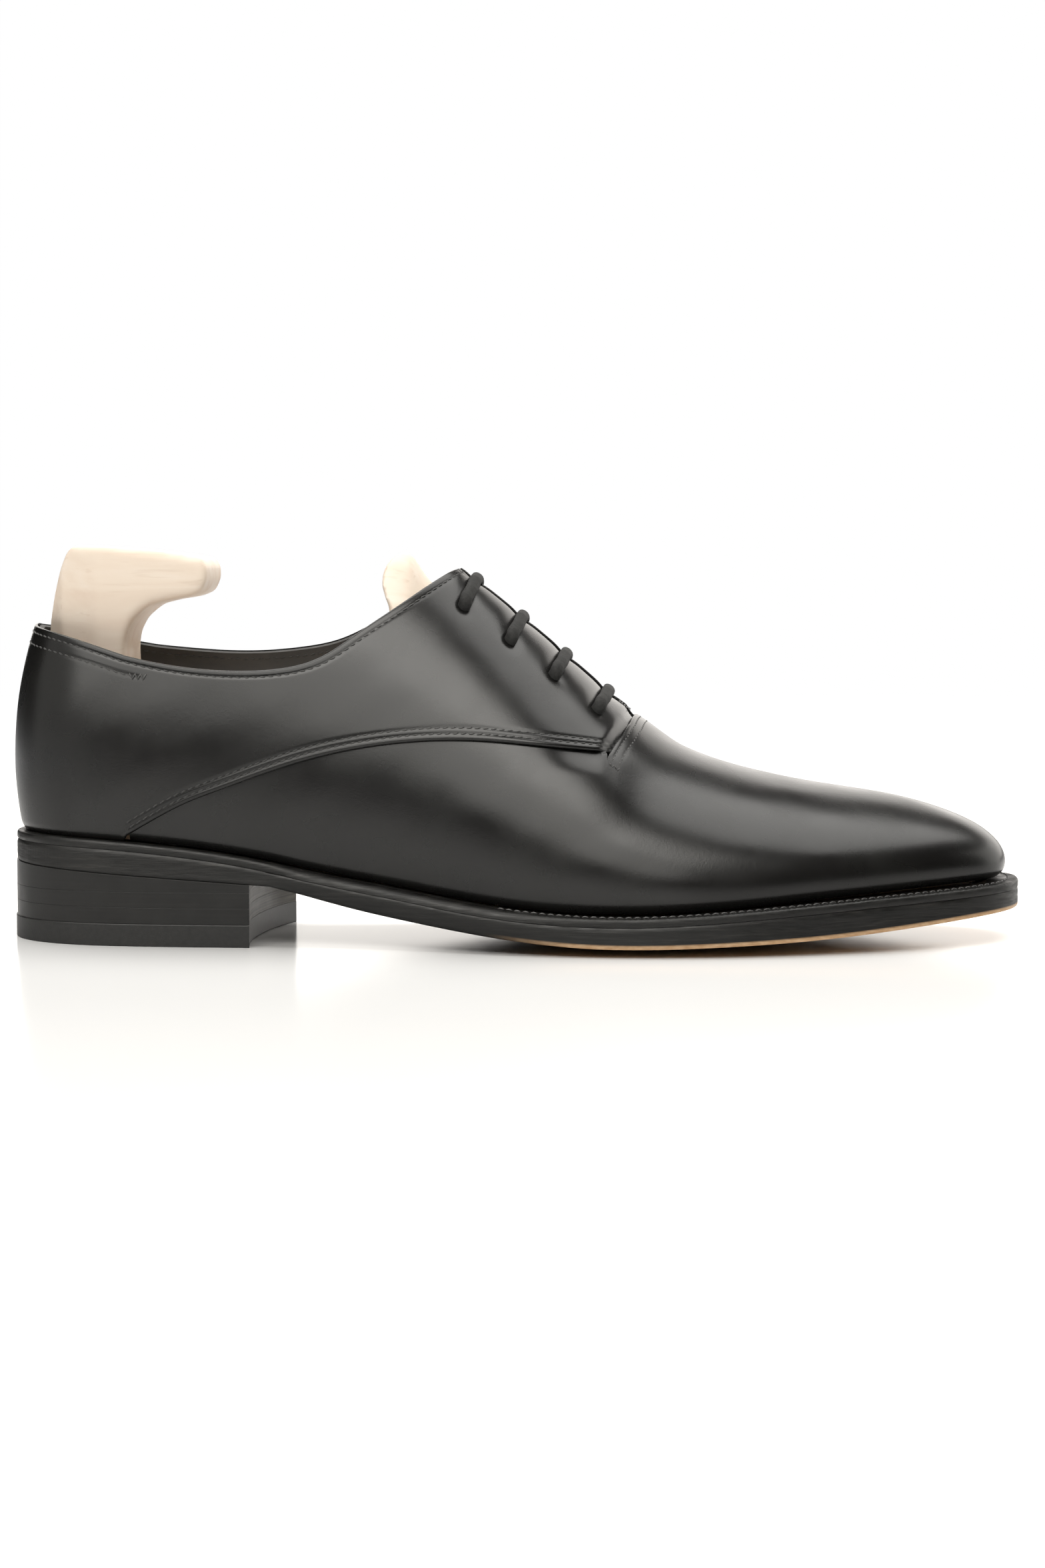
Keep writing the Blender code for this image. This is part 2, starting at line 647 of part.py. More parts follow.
def make_vamp_lining():
    sides, at = round_toe(stations(0.5775, 1.0, extra=(0.594, 0.625, 0.632, 0.64)))

    def top(side, station):
        return np.where(station < 0.63, angle_beside_spine(side, station, FACING_SLIT), HALF_TURN)

    obj = panel(
        "vamp_lining", sides, at, 7, feather_edge, top, flat_depth(LINING_DEPTH), LINING_THICK, lining_leather()
    )
    for side in (-1, 1):
        cut(obj, eyelet_cutter(f"vamp_lining_hole_{side + 2}", side, EYELET_STATIONS[3], LINING_HOLE))
    return obj


def make_heel_counter():
    sides, at = round_heel(stations(0.0, 0.27))

    def top(side, station):
        return angle_at_height(side, station, 76 - 30 * smooth_step(station, 0.1, 0.3))

    return panel(
        "heel_counter", sides, at, 4, feather_edge, top, flat_depth(STIFFENER_DEPTH), STIFFENER_THICK,
        leather_board(),
    )


def make_toe_puff():
    sides, at = round_toe(stations(0.84, 1.0))
    return panel(
        "toe_puff", sides, at, 6, feather_edge, lambda side, station: np.full(np.shape(station), HALF_TURN * 6 / 7),
        flat_depth(STIFFENER_DEPTH), STIFFENER_THICK, leather_board(),
    )


def make_tongue():
    at = stations(0.452, 0.665)
    half_angle = 0.46
    across = 8

    def place(column, row):
        offset = (row / across * 2 - 1) * half_angle
        side = np.where(offset < 0, -1, 1)
        station = at[column]
        depth = TONGUE_DEPTH + (TONGUE_END_DEPTH - TONGUE_DEPTH) * smooth_step(station, 0.6, 0.66)
        return under_surface(side, station, HALF_TURN - np.abs(offset), depth)

    obj = finish_mesh("tongue", warped_grid(len(at) - 1, across, place), box_calf())
    face_outwards(obj)
    solidify(obj, TONGUE_THICK)
    return obj


# ---------------------------------------------------------------- eyelets and lace
def eyelet_frame(side, station):
    """The point on the surface over an eyelet, and the direction out of the leather."""
    point = last_surface(side, station, EYELET_ANGLE)
    normal = last_normal(side, station, EYELET_ANGLE)
    return Vector(point), Vector(normal)


def eyelet_cutter(name, side, station, radius):
    point, normal = eyelet_frame(side, station)
    return rod(name, point + normal * 4, point - normal * 8, radius, None, "cutters")


def make_eyelet(name, side, station):
    """A blind eyelet: its flange lies between facing and lining, its barrel goes through the lining."""
    point, normal = eyelet_frame(side, station)
    profile = (
        (EYELET_BORE, -EYELET_TOP), (EYELET_FLANGE, -EYELET_TOP), (EYELET_FLANGE, -EYELET_TOP - 0.5),
        (EYELET_OUTSIDE, -EYELET_TOP - 0.5), (EYELET_OUTSIDE, -EYELET_END), (EYELET_BORE, -EYELET_END),
    )
    return turned(name, profile, point, normal, steel())


def beside(side, station, across, depth):
    """A point beside an eyelet: across is the way towards the spine along the leather, mm."""
    point, normal = eyelet_frame(side, station)
    towards = Vector(last_surface(side, station, EYELET_ANGLE + 0.01)) - point
    towards = (towards - normal * towards.dot(normal)).normalized()
    return point + towards * across - normal * depth


def through_eyelet(side, station, leaving):
    """The lace from below the facing up through an eyelet and over towards the spine.

    leaving is +1 where its lower end comes from the spine's side, -1 from the other.
    """
    corner = LACE_BEND * (1 - math.sqrt(0.5))
    places = (
        (leaving * (LACE_BEND + 0.2), LACE_UNDER), (leaving * corner, LACE_UNDER - corner),
        (0, EYELET_END - 0.4), (0, LACE_OVER + LACE_BEND + 0.2), (corner, LACE_OVER + corner),
        (LACE_BEND + 0.2, LACE_OVER),
    )
    return [beside(side, station, across, depth) for across, depth in places]


def over_instep(ahead, depth):
    """Points across the instep from the lateral to the medial side, at one depth; they lean towards the toe."""
    places = ((-1, 1.25, 0.5), (-1, 1.41, 0.85), (-1, HALF_TURN, 1), (1, 1.41, 0.85), (1, 1.25, 0.5))
    ahead = np.broadcast_to(ahead, len(places))
    return [
        Vector(under_surface(side, at + LACE_LEAN * lean, angle, depth)) for (side, angle, lean), at in zip(places, ahead)
    ]


def lace_route():
    """One lace: a straight bar over each pair of eyelets, and a slanting run under the facings between pairs."""
    pairs = EYELET_STATIONS[::-1]
    route = [Vector(under_surface(-1, station, angle, LACE_UNDER)) for station, angle in LACE_START]
    for number, station in enumerate(pairs):
        route += through_eyelet(-1, station, -1 if number == 0 else 1)
        route += over_instep(station, LACE_OVER)
        last = number == len(pairs) - 1
        route += through_eyelet(1, station, -1 if last else 1)[::-1]
        if not last:
            ahead = station + (pairs[number + 1] - station) * np.array([0.8, 0.65, 0.5, 0.35, 0.2])
            route += over_instep(ahead, LACE_UNDER)[::-1]
    return route + [Vector(under_surface(1, station, angle, LACE_UNDER)) for station, angle in LACE_END]


def make_lace():
    route = lace_route()
    curve = bpy.data.curves.new("lace", "CURVE")
    curve.dimensions = "3D"
    curve.bevel_depth = LACE_RADIUS * MM
    curve.bevel_resolution = 2
    curve.use_fill_caps = True
    spline = curve.splines.new("POLY")
    spline.points.add(len(route) - 1)
    for point, place in zip(spline.points, route):
        point.co = (*(place * MM), 1)
    return add_object("lace", curve, waxed_cotton())


# ---------------------------------------------------------------- bottom of the shoe
def raised(name, bm, low, high, look):
    """A flat sheet whose z holds a number becomes a solid from low(x, y, number) to high(x, y, number)."""
    bmesh.ops.remove_doubles(bm, verts=bm.verts, dist=0.01)
    result = bmesh.ops.extrude_face_region(bm, geom=bm.faces[:], use_keep_orig=True)
    upper = {item for item in result["geom"] if isinstance(item, bmesh.types.BMVert)}
    for vert in bm.verts:
        x, y, number = vert.co
        vert.co.z = float((high if vert in upper else low)(x, y, number))
    return finish_mesh(name, bm, look)


def slab(name, sides, at, outer, inner, parts, low, high, look):
    """A solid between an outer plan and an inner plan, or the spine where inner is None."""
    outside = outer.at(sides, at)
    inside = inner.at(sides, at) if inner else spine_point(at)
    parts = np.array(parts, float)

    def place(column, row):
        part = parts[row]
        flat = inside[column] + (outside[column] - inside[column]) * part[:, None]
        return np.column_stack([flat, part])

    return raised(name, warped_grid(len(at) - 1, len(parts) - 1, place), low, high, look)


def above_feather(height):
    return lambda x, y, part: feather_height(x) + height


def sole_bottom(x, y, part):
    """The sole's underside: one slope over the heel, and bowed down across the forepart."""
    (back, back_height), (front, front_height) = SOLE_EDGE[:2]
    if x < front:
        return back_height + (front_height - back_height) * (x - back) / (front - back)
    return forepart_edge(x) - sole_crown(x) * (1 - part**2.5)


def full_ring():
    """Sides and stations once round the whole shoe."""
    one = stations(0.0, 1.0)
    sides = np.concatenate([np.full(len(one), -1), np.full(len(one) - 1, 1)])
    return sides, np.concatenate([one, one[-2::-1]])


def make_bottom():
    whole = full_ring()
    inside_welt = Plan(moved_in(FEATHER_LOOP, WELT_IN))
    slab("outsole", *whole, SOLE_PLAN, None, (1, 0.8, 0.4, 0), sole_bottom, above_feather(-WELT_THICK - 2 * GAP),
         bottom_leather())
    insole_plan = Plan(moved_in(FEATHER_LOOP, INSOLE_IN))
    slab("insole", *whole, insole_plan, None, (1, 0.5, 0), above_feather(GAP), above_feather(GAP + INSOLE_THICK),
         insole_leather())
    sock_bottom = INSOLE_THICK + 2 * GAP
    slab("sock_lining", *whole, insole_plan, None, (1, 0.5, 0), above_feather(sock_bottom),
         above_feather(sock_bottom + SOCK_THICK), lining_leather())
    forepart = round_toe(stations(station_at(-73.5), 1.0))
    slab("welt", *forepart, SOLE_PLAN, inside_welt, (0, 1), above_feather(-WELT_THICK - GAP), above_feather(-GAP),
         bottom_leather())
    seat = round_heel(stations(0.0, station_at(-74.3)))
    slab("heel_rand", *seat, SOLE_PLAN, inside_welt, (0, 1), above_feather(-WELT_THICK - GAP), above_feather(-GAP),
         bottom_leather())
    rib = round_toe(stations(station_at(-68), 1.0))
    slab("insole_rib", *rib, Plan(moved_in(FEATHER_LOOP, RIB_IN)), Plan(moved_in(FEATHER_LOOP, RIB_IN + RIB_WIDTH)),
         (0, 1), above_feather(-WELT_THICK), above_feather(0), insole_leather())
    ball = round_toe(stations(station_at(-8), 1.0))
    slab("cork_filler", *ball, Plan(moved_in(FEATHER_LOOP, CORK_IN)), None, (1, 0.5, 0), above_feather(-WELT_THICK),
         above_feather(0), cork())


def make_shank():
    steps = 12

    def place(column, row):
        x = SHANK_START + (SHANK_END - SHANK_START) * column / steps
        return np.column_stack([x, spine_y(x) + (row * 2 - 1) * SHANK_HALF_WIDTH, 0 * x])

    raised("shank", warped_grid(steps, 1, place), above_feather(-WELT_THICK),
           above_feather(SHANK_THICK - WELT_THICK), steel())


def breast_line(plan, count=6):
    """Plan points of the heel's front face, from the medial to the lateral corner, hollow towards the heel."""
    lateral = plan.at(-1, station_at(BREAST_LATERAL_X))
    medial = plan.at(1, station_at(BREAST_MEDIAL_X))
    part = np.linspace(0, 1, count + 1)[1:-1, None]
    line = medial + (lateral - medial) * part
    line[:, 0] -= BREAST_HOLLOW * 4 * (part * (1 - part))[:, 0]
    return line


def heel_layer(name, out, low, high, look):
    """One layer of the heel between two heights, given as functions like sole_bottom."""
    plan = Plan(moved_in(SOLE_LOOP, -out))
    lateral = plan.at(-1, stations(0.0, station_at(BREAST_LATERAL_X))[::-1])
    medial = plan.at(1, stations(0.0, station_at(BREAST_MEDIAL_X))[1:])
    outline = np.vstack([lateral, medial, breast_line(plan)])
    bm = bmesh.new()
    bm.faces.new([bm.verts.new((x, y, 1)) for x, y in outline])
    obj = raised(name, bm, low, high, look)
    for number, place in enumerate(NAIL_PLACES, 1):
        cut(obj, rod(f"{name}_nail_{number}", (*place, -5), (*place, 30), NAIL_HOLE_RADIUS, None, "cutters", 8))
    return obj


def level(height):
    return lambda x, y, part: height


def make_heel():
    heel_layer("heel_top_piece", TOP_PIECE_OUT, level(0), level(TOP_PIECE_THICK), rubber())
    low = TOP_PIECE_THICK + GAP
    for number, top in ((3, LIFT_TOPS[0]), (2, LIFT_TOPS[1])):
        heel_layer(f"heel_lift_{number}", LIFT_OUT, level(low), level(top), bottom_leather())
        low = top + GAP
    heel_layer("heel_lift_1", LIFT_OUT, level(low), lambda x, y, part: sole_bottom(x, y, part) - GAP,
               bottom_leather())
    for number, (x, y) in enumerate(NAIL_PLACES, 1):
        top = sole_bottom(x, y, 1) - 1.2
        rod(f"heel_nail_{number}", (x, y, 0.5), (x, y, top), NAIL_RADIUS, brass(), sides=8)


# ---------------------------------------------------------------- shoe tree
def tree_depth(station, angle):
    """Close to the lining, deeper under the tongue and the lace, and short of the toe."""
    instep = smooth_step(station, 0.412, 0.43) * (1 - smooth_step(station, 0.64, 0.675))
    lace = smooth_step(angle, 0.4, 0.62) * instep * (TREE_LACE_DEPTH - TREE_DEPTH)
    return TREE_DEPTH + lace + 3.5 * smooth_step(station, 0.86, 1)


def tree_floor(x):
    """The shoe tree's underside, just above the sock lining."""
    return feather_height(x) + INSOLE_THICK + SOCK_THICK + 4 * GAP


def make_tree_forepart():
    sides, at = round_toe(stations(station_at(FOREPART_BACK), 1.0, extra=(0.42, 0.43, 0.655)))
    rows = 9
    foot = FEATHER_PLAN.at(sides, at)
    low = angle_at_height(sides, at, tree_floor(foot[:, 0]))

    def place(column, row):
        part = np.maximum(row - 1, 0) / (rows - 1)
        angle = low[column] + (HALF_TURN - low[column]) * part
        side, station = sides[column], at[column]
        point = under_surface(side, station, angle, tree_depth(station, angle))
        point[row == 0, :2] = spine_point(station)[row == 0]
        point[:, 0] = np.maximum(point[:, 0], FOREPART_BACK)
        floor = tree_floor(point[:, 0])
        point[:, 2] = np.where(row <= 1, floor, np.maximum(point[:, 2], floor))
        return point

    bm = warped_grid(len(at) - 1, rows, place)
    bmesh.ops.remove_doubles(bm, verts=bm.verts, dist=0.01)
    bmesh.ops.holes_fill(bm, edges=[edge for edge in bm.edges if edge.is_boundary])
    obj = finish_mesh("tree_forepart", bm, beech())
    cut_hinge_room(obj, 1)
    return obj


def make_tree_heel_block():
    """A block on the sock lining and, rising from it, a neck with a hooked handle."""
    y = TREE_Y
    outline = [(BLOCK_FRONT, -HINGE_WIDTH / 2 - 1.5), *BLOCK_PLAN, (BLOCK_FRONT, HINGE_WIDTH / 2 + 1.5)]
    bm = bmesh.new()
    bm.faces.new([bm.verts.new((x, y + aside, 1)) for x, aside in outline])
    bmesh.ops.triangulate(bm, faces=bm.faces)
    top = through(BLOCK_TOP)
    block = raised("tree_heel_block", bm, lambda x, y, part: tree_floor(x) + 0.3, lambda x, y, part: top(x), beech())
    handle = flat_shape("handle", HANDLE_OUTLINE, HANDLE_HALF_WIDTH + 3, None, "cutters")
    plan = prism("handle_plan", [(x, y + aside) for x, aside in HANDLE_PLAN], 40, 125)
    cut(handle, plan, "INTERSECT")
    edge = handle.modifiers.new("rounded", "BEVEL")
    edge.width = HANDLE_ROUNDING * MM
    edge.segments = 2
    edge.limit_method = "ANGLE"
    edge.angle_limit = math.radians(50)
    cut(block, handle, "UNION")
    cut_hinge_room(block, -1)
    return block


def prism(name, plan, low, high):
    """An upright solid on a plan, as a cutter."""
    bm = bmesh.new()
    bm.faces.new([bm.verts.new((x, y, 1)) for x, y in plan])
    return raised(name, bm, level(low), level(high), None)


def across_pivot(half_width):
    x, y, z = PIVOT
    return (x, y - half_width, z), (x, y + half_width, z)


def screw_places(way):
    """Where a leaf's two screws go: way +1 is the forepart's leaf, -1 the heel block's."""
    x, y, z = PIVOT
    face = x + way * (LEAF_OFFSET - LEAF_THICK - GAP / 2)
    return [(face, y + side * SCREW_ASIDE[way], z - SCREW_DROP) for side in (-1, 1)]


def cut_hinge_room(obj, way):
    """Room in the wood for the knuckles and the screws."""
    ends = across_pivot(HINGE_WIDTH / 2 + 1.5)
    cut(obj, rod(f"{obj.name}_knuckle_room", *ends, KNUCKLE_RADIUS + 0.5, None, "cutters"))
    cut_screw_room(obj, way)


def cut_screw_room(obj, way):
    for number, (x, y, z) in enumerate(screw_places(way), 1):
        end = x + way * (SCREW_LENGTH + 1.5)
        cut(obj, rod(f"{obj.name}_screw_room_{number}", (x, y, z), (end, y, z), SCREW_ROOM, None, "cutters", 8))


def box(name, low, high, look, group=COLLECTION):
    """A plain block between two corners, mm."""
    bm = bmesh.new()
    bmesh.ops.create_cube(bm, size=1)
    low, high = Vector(low), Vector(high)
    bmesh.ops.scale(bm, vec=high - low, verts=bm.verts)
    bmesh.ops.translate(bm, vec=(low + high) / 2, verts=bm.verts)
    return finish_mesh(name, bm, look, group)


def make_hinge_leaf(name, way):
    """A plate with knuckles: way +1 is screwed to the forepart, -1 to the heel block."""
    x, y, z = PIVOT
    inner, outer = sorted((x + way * (LEAF_OFFSET - LEAF_THICK), x + way * LEAF_OFFSET))
    half = HINGE_WIDTH / 2
    leaf = box(name, (inner, y - half, z - HINGE_DROP), (outer, y + half, z - KNUCKLE_RADIUS - 0.4), steel())
    for number, (start, end) in enumerate(KNUCKLE_ENDS[way], 1):
        tab = box(f"{name}_tab_{number}", (inner, y + start, z - 6), (outer, y + end, z), None)
        cut(leaf, tab, "UNION")
        barrel = rod(f"{name}_barrel_{number}", (x, y + start, z), (x, y + end, z), KNUCKLE_RADIUS, None, sides=16)
        cut(leaf, barrel, "UNION")
    cut(leaf, rod(f"{name}_bore", *across_pivot(half + 3), KNUCKLE_BORE, None, "cutters", 16))
    cut_screw_room(leaf, way)
    return leaf


def make_screw(name, way, place):
    """A flat-headed wood screw: a head over the leaf and a shank that ends in a point."""
    profile = (
        (0, 0), (SCREW_HEAD - 0.5, 0), (SCREW_HEAD, -0.3), (SCREW_HEAD, -SCREW_HEAD_THICK),
        (SCREW_RADIUS, -SCREW_HEAD_THICK), (SCREW_RADIUS, 2 - SCREW_LENGTH), (0, -SCREW_LENGTH),
    )
    x, y, z = place
    head_top = x - way * (SCREW_HEAD_THICK + GAP / 2)
    return turned(name, profile, (head_top, y, z), (-way, 0, 0), steel(), 8)


def make_hinge():
    """The hinge's leaves, screws and pin; what turns with the heel block hangs from an empty on the pin."""
    pivot = bpy.data.objects.new("tree_fold", None)
    bpy.data.collections[COLLECTION].objects.link(pivot)
    pivot.location = Vector(PIVOT) * MM
    bpy.context.view_layer.update()
    make_hinge_leaf("hinge_leaf_front", 1)
    moving = [make_hinge_leaf("hinge_leaf_rear", -1), make_tree_heel_block()]
    for name, way in (("front", 1), ("rear", -1)):
        for number, place in enumerate(screw_places(way), 1):
            screw = make_screw(f"hinge_screw_{name}_{number}", way, place)
            if way < 0:
                moving.append(screw)
    rod("hinge_pin", *across_pivot(HINGE_WIDTH / 2 + 0.4), PIN_RADIUS, steel(), sides=16)
    for obj in moving:
        obj.parent = pivot
        obj.matrix_parent_inverse = pivot.matrix_world.inverted()


def main():
    clear_scene()
    make_vamp()
    make_quarter("quarter_lateral", -1)
    make_quarter("quarter_medial", 1)
    make_tongue()
    make_vamp_lining()
    make_quarter_lining()
    make_heel_counter()
    make_toe_puff()
    for side, word in ((-1, "lateral"), (1, "medial")):
        for number, station in enumerate(EYELET_STATIONS, 1):
            make_eyelet(f"eyelet_{word}_{number}", side, station)
    make_lace()
    make_bottom()
    make_shank()
    make_heel()
    make_tree_forepart()
    make_hinge()


main()
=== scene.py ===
"""Looks for the leather oxford shoe: calf upper, stitching, lace, welted bottom and beech shoe tree.

The upper follows the same last as the CAD part.  A place on it is (side, station, angle):
    side     -1 lateral (towards -Y), +1 medial
    station  0 at the heel's back, 1 at the toe's tip
    angle    0 on the feather line, where upper and welt meet, 90 degrees on the spine
Shapes are worked out in millimetres and become metres when a mesh is made.
"""
import math

import bmesh
import bpy
import numpy as np
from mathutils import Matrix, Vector


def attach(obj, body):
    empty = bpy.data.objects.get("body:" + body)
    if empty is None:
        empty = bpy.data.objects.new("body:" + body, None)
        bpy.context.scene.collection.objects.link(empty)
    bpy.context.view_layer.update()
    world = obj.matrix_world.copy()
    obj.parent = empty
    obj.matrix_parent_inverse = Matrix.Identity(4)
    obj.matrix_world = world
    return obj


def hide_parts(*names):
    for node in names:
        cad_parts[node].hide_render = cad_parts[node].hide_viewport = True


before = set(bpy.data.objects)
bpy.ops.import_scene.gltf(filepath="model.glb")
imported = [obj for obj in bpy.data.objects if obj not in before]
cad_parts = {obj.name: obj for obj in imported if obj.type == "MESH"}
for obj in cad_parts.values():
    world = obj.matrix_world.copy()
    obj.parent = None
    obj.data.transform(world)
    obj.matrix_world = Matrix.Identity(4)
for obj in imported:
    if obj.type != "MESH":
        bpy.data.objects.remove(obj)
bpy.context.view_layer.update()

MM = 0.001
HALF_TURN = math.pi / 2
SIDES = (-1, 1)
SIDE_NAMES = {-1: "lateral", 1: "medial"}
RANDOM = np.random.default_rng(7)

# ---- The last: plan curves and heights, mm
SOLE_OUTLINE = (
    (-151.4, -3), (-146, -18.2), (-131, -29.2), (-108.5, -33.5), (-80, -34.5), (-50, -36), (-20, -42),
    (10, -49.5), (36, -51.8), (66, -48.5), (96, -39.5), (120, -28.6), (138, -18), (147.8, -8),
    (151, 5), (150, 16.5), (142.8, 27), (128, 35), (106, 43.5), (78, 50), (52, 51.6), (24, 46),
    (-5, 36), (-35, 29.5), (-65, 28.5), (-95, 29.5), (-121.5, 27.2), (-141.4, 17.3), (-149.9, 6),
)
SOLE_INSIDE = 0.08
FEATHER_INSET = (
    (-150, 2.4), (-100, 3.0), (-70, 3.6), (-30, 4.6), (20, 5.6), (60, 5.8), (120, 5.2), (150, 4.6),
)
FEATHER_HEIGHT = (
    (-150, 32.4), (-120, 31.2), (-96, 29.0), (-78, 26.4), (-56, 21.9), (-34, 18.0), (-12, 14.4),
    (12, 12.0), (36, 11.4), (62, 12.6), (95, 15.0), (125, 17.0), (150, 18.6),
)
SPINE_HEIGHT = (
    (-113, 136), (-80, 134), (-50, 126.5), (-20, 112.5), (0, 97), (20, 79.6), (36, 66.4),
    (52, 57.4), (72, 51), (95, 46.6), (112, 44.2),
)
SPINE_Y = ((-113, -2.5), (-70, -1), (-20, 1.5), (30, 5), (80, 7.5), (112, 8.5))
BULGE = ((-113, 3.6), (-80, 4.0), (-40, 4.8), (0, 4.0), (40, 2.6), (80, 2.6), (112, 3.0))
BULGE_RISE, BULGE_FALL = 1.0, 1.7
HEEL_FAN_X, TOE_FAN_X = -113.0, 104.0
HEEL_FAN, TOE_FAN = 0.17, 0.82

# ---- Panel edges, (station, height) and (station, angle)
TOPLINE = {
    -1: ((0, 94.3), (0.07, 92), (0.147, 87.1), (0.2, 83.2), (0.26, 81), (0.308, 81.7), (0.343, 85.1),
         (0.376, 92.4), (0.409, 100), (0.432, 105.5), (0.47, 114)),
    1: ((0, 94.3), (0.07, 92.2), (0.145, 88.2), (0.2, 86.1), (0.26, 85.3), (0.308, 86.6), (0.343, 89.2),
        (0.376, 94.5), (0.409, 100.8), (0.432, 105.7), (0.47, 114)),
}
SIDE_SEAM = ((0.168, 31.8), (0.188, 35.7), (0.226, 42.4), (0.253, 45.9), (0.32, 53.9), (0.426, 60.7),
             (0.483, 61.2), (0.538, 59.7), (0.593, 57.7), (0.64, 55.5))
THROAT = ((0.593, 0.80), (0.6, 0.95), (0.606, 1.08), (0.612, 1.28), (0.6155, HALF_TURN))
FACING_SLIT = 2.0
EYELET_STATIONS = (0.465, 0.506, 0.545, 0.583)
EYELET_ANGLE = 1.12

# ---- Leather layers: depth under the last's surface, mm
QUARTER_DEPTH, QUARTER_UNDER_VAMP, QUARTER_THICK = -0.5, 0.75, 1.25
VAMP_DEPTH, VAMP_MOUTH_DEPTH, VAMP_THICK = 0.95, -0.45, 0.8
COLLAR_LINING_DEPTH, LINING_DEPTH, LINING_THICK = 1.0, 3.4, 1.4
TONGUE_START, TONGUE_DEPTH, TONGUE_END_DEPTH, TONGUE_THICK = 0.463, 8.0, 4.6, 1.6
EDGE_ROUNDING = 0.75
FACING_RAISED, FACING_DIP, TUCK_DEPTH, TUCK_HEIGHT = 0.5, 0.55, 0.8, 3.2
STITCH_PITCH, STITCH_THICK, STITCH_SINK = 2.35, 0.46, 0.1
SEAM_ROWS = (1.75, 3.35)
TOPLINE_ROW, HEEL_BAND_ROW, HEEL_BAND_END = 2.0, 5.4, 0.182
THROAT_ROWS = (1.3, 3.1)

# ---- Stations where panels and rows of stitches begin and end
QUARTER_START, QUARTER_END = 0.0002, 0.625
VAMP_START, VAMP_MOUTH_START, VAMP_MOUTH_END = 0.172, 0.588, 0.622
LINING_END, VAMP_LINING_START, TONGUE_END, TONGUE_HALF_ANGLE = 0.5745, 0.5775, 0.655, 0.44
SEAM_STITCHES, COLLAR_STITCHES, COLLAR_STITCH_LIMIT = (0.176, 0.5905), (0.001, 0.462), 0.4635
LINING_STITCHES, SLIT_STITCHES = (0.02, 0.44), (0.6005, 0.6035)

# ---- Lace
LACE_RADIUS, LACE_SPACING, LACE_ROUND = 1.78, 0.26, 26
LACE_BEND, LACE_LEAN = 1.8, 0.0065
EYELET_END = 4.7
CAD_QUARTER_DEPTH = -0.5
LACE_OVER, LACE_UNDER = CAD_QUARTER_DEPTH - LACE_BEND - 0.05, EYELET_END + LACE_BEND
LACE_PULLED = (-1.95, -1.5, -1.25, -1.5, -1.95)
LACE_FLAT, LACE_WIDE = 0.72, 1.08
LACE_START = ((0.44, 0.68), (0.475, 0.68), (0.51, 0.7), (0.545, 0.76), (0.57, 0.9))
LACE_END = ((0.468, 0.84), (0.478, 0.72), (0.5, 0.68), (0.53, 0.7), (0.56, 0.73))

# ---- Bottom
GAP = 0.3
FEATHER_DROP, SOLE_SPACING = 0.05, 0.55
WELT_TOOTH, WELT_STITCH_IN, SEAT_RIB = 1.65, 3.15, 1.05
WELT_THICK, WELT_IN = 2.7, 9.0
INSOLE_THICK, SOCK_THICK = 3.0, 1.0
SOLE_EDGE = ((-150, 23.2), (-70, 18.0), (-60, 15.3), (-44, 11.4), (-28, 8.4), (-12, 5.9), (8, 3.6),
             (30, 2.5), (60, 3.0), (95, 4.8), (120, 7.0), (150, 10.2))
SOLE_CROWN = ((-70, 0), (-44, 0.8), (-12, 1.8), (8, 2.3), (30, 2.45), (60, 2.2), (95, 1.8), (150, 1.2))
BREAST_LATERAL_X, BREAST_MEDIAL_X, BREAST_HOLLOW = -76.0, -71.0, 4.0
TOP_PIECE_THICK, TOP_PIECE_OUT, LIFT_OUT = 6.6, 0.5, 0.2
LIFT_TOPS = (11.4, 16.0)

# ---- Shoe tree
TREE_Y = -2.0
TREE_DEPTH, TREE_LACE_DEPTH = 5.0, 10.0
HINGE_X, HINGE_Z, HINGE_WIDTH, KNUCKLE_ROOM = -39.6, 50.0, 24.0, 3.0
FOREPART_BACK, BLOCK_FRONT = -37.2, -42.0
HANDLE_HALF_WIDTH = 14.0
HANDLE_OUTLINE = (
    (-131.4, 117.6), (-122, 117.2), (-112, 116.4), (-101, 115.3), (-92.6, 114), (-91, 111.5), (-91, 107.5),
    (-92.6, 103.9), (-96.5, 102.3), (-102.5, 101.4), (-108.3, 100), (-112.9, 96.3), (-115.3, 92), (-116, 87),
    (-115.6, 80), (-111, 68), (-100, 54), (-129, 52), (-136.8, 66), (-140, 80), (-141.4, 90), (-140.6, 96),
    (-138.9, 103), (-136.6, 109.6), (-134.2, 115.2), (-132.2, 117.3),
)
HANDLE_PLAN = (
    (-85, -14), (-110, -14), (-124, -13.6), (-135.6, -9.5), (-141.8, 0), (-135.6, 9.5), (-124, 13.6),
    (-110, 14), (-85, 14),
)
BLOCK_PLAN = (
    (-60, -16.5), (-100, -16.5), (-116, -15.5), (-127, -10.5), (-132, 0), (-127, 10.5), (-116, 15.5),
    (-100, 16.5), (-60, 16.5),
)
FOREPART_END = (
    (-60, 0), (-37.2, 0), (-37.2, 90), (-36.6, 96), (-36.9, 99.6), (-38.3, 102.5), (-39.4, 106),
    (-39.2, 109.5), (-37.8, 112.6), (-35.4, 115), (-32.5, 117), (-30, 119), (-30, 135), (-60, 135),
)
BLOCK_TOP = ((-135, 63), (-110, 62), (-70, 56.5), (-42, 50.5))

# ---- Camera and stage, m
CAMERA_AWAY, CAMERA_HEIGHT, CAMERA_ASIDE = 0.900, 0.114, 0.0019
FLOOR_RADIUS, FLOOR_FRONT, WALL_AWAY = 1.6, 0.7, 6.0
FLOOR_FADE, WORLD_LIGHT = (0.28, 0.95), 0.015
CAMERA_TURN, CAMERA_DOWN, CAMERA_LENS = math.radians(3.6), math.radians(4.33), 68.74


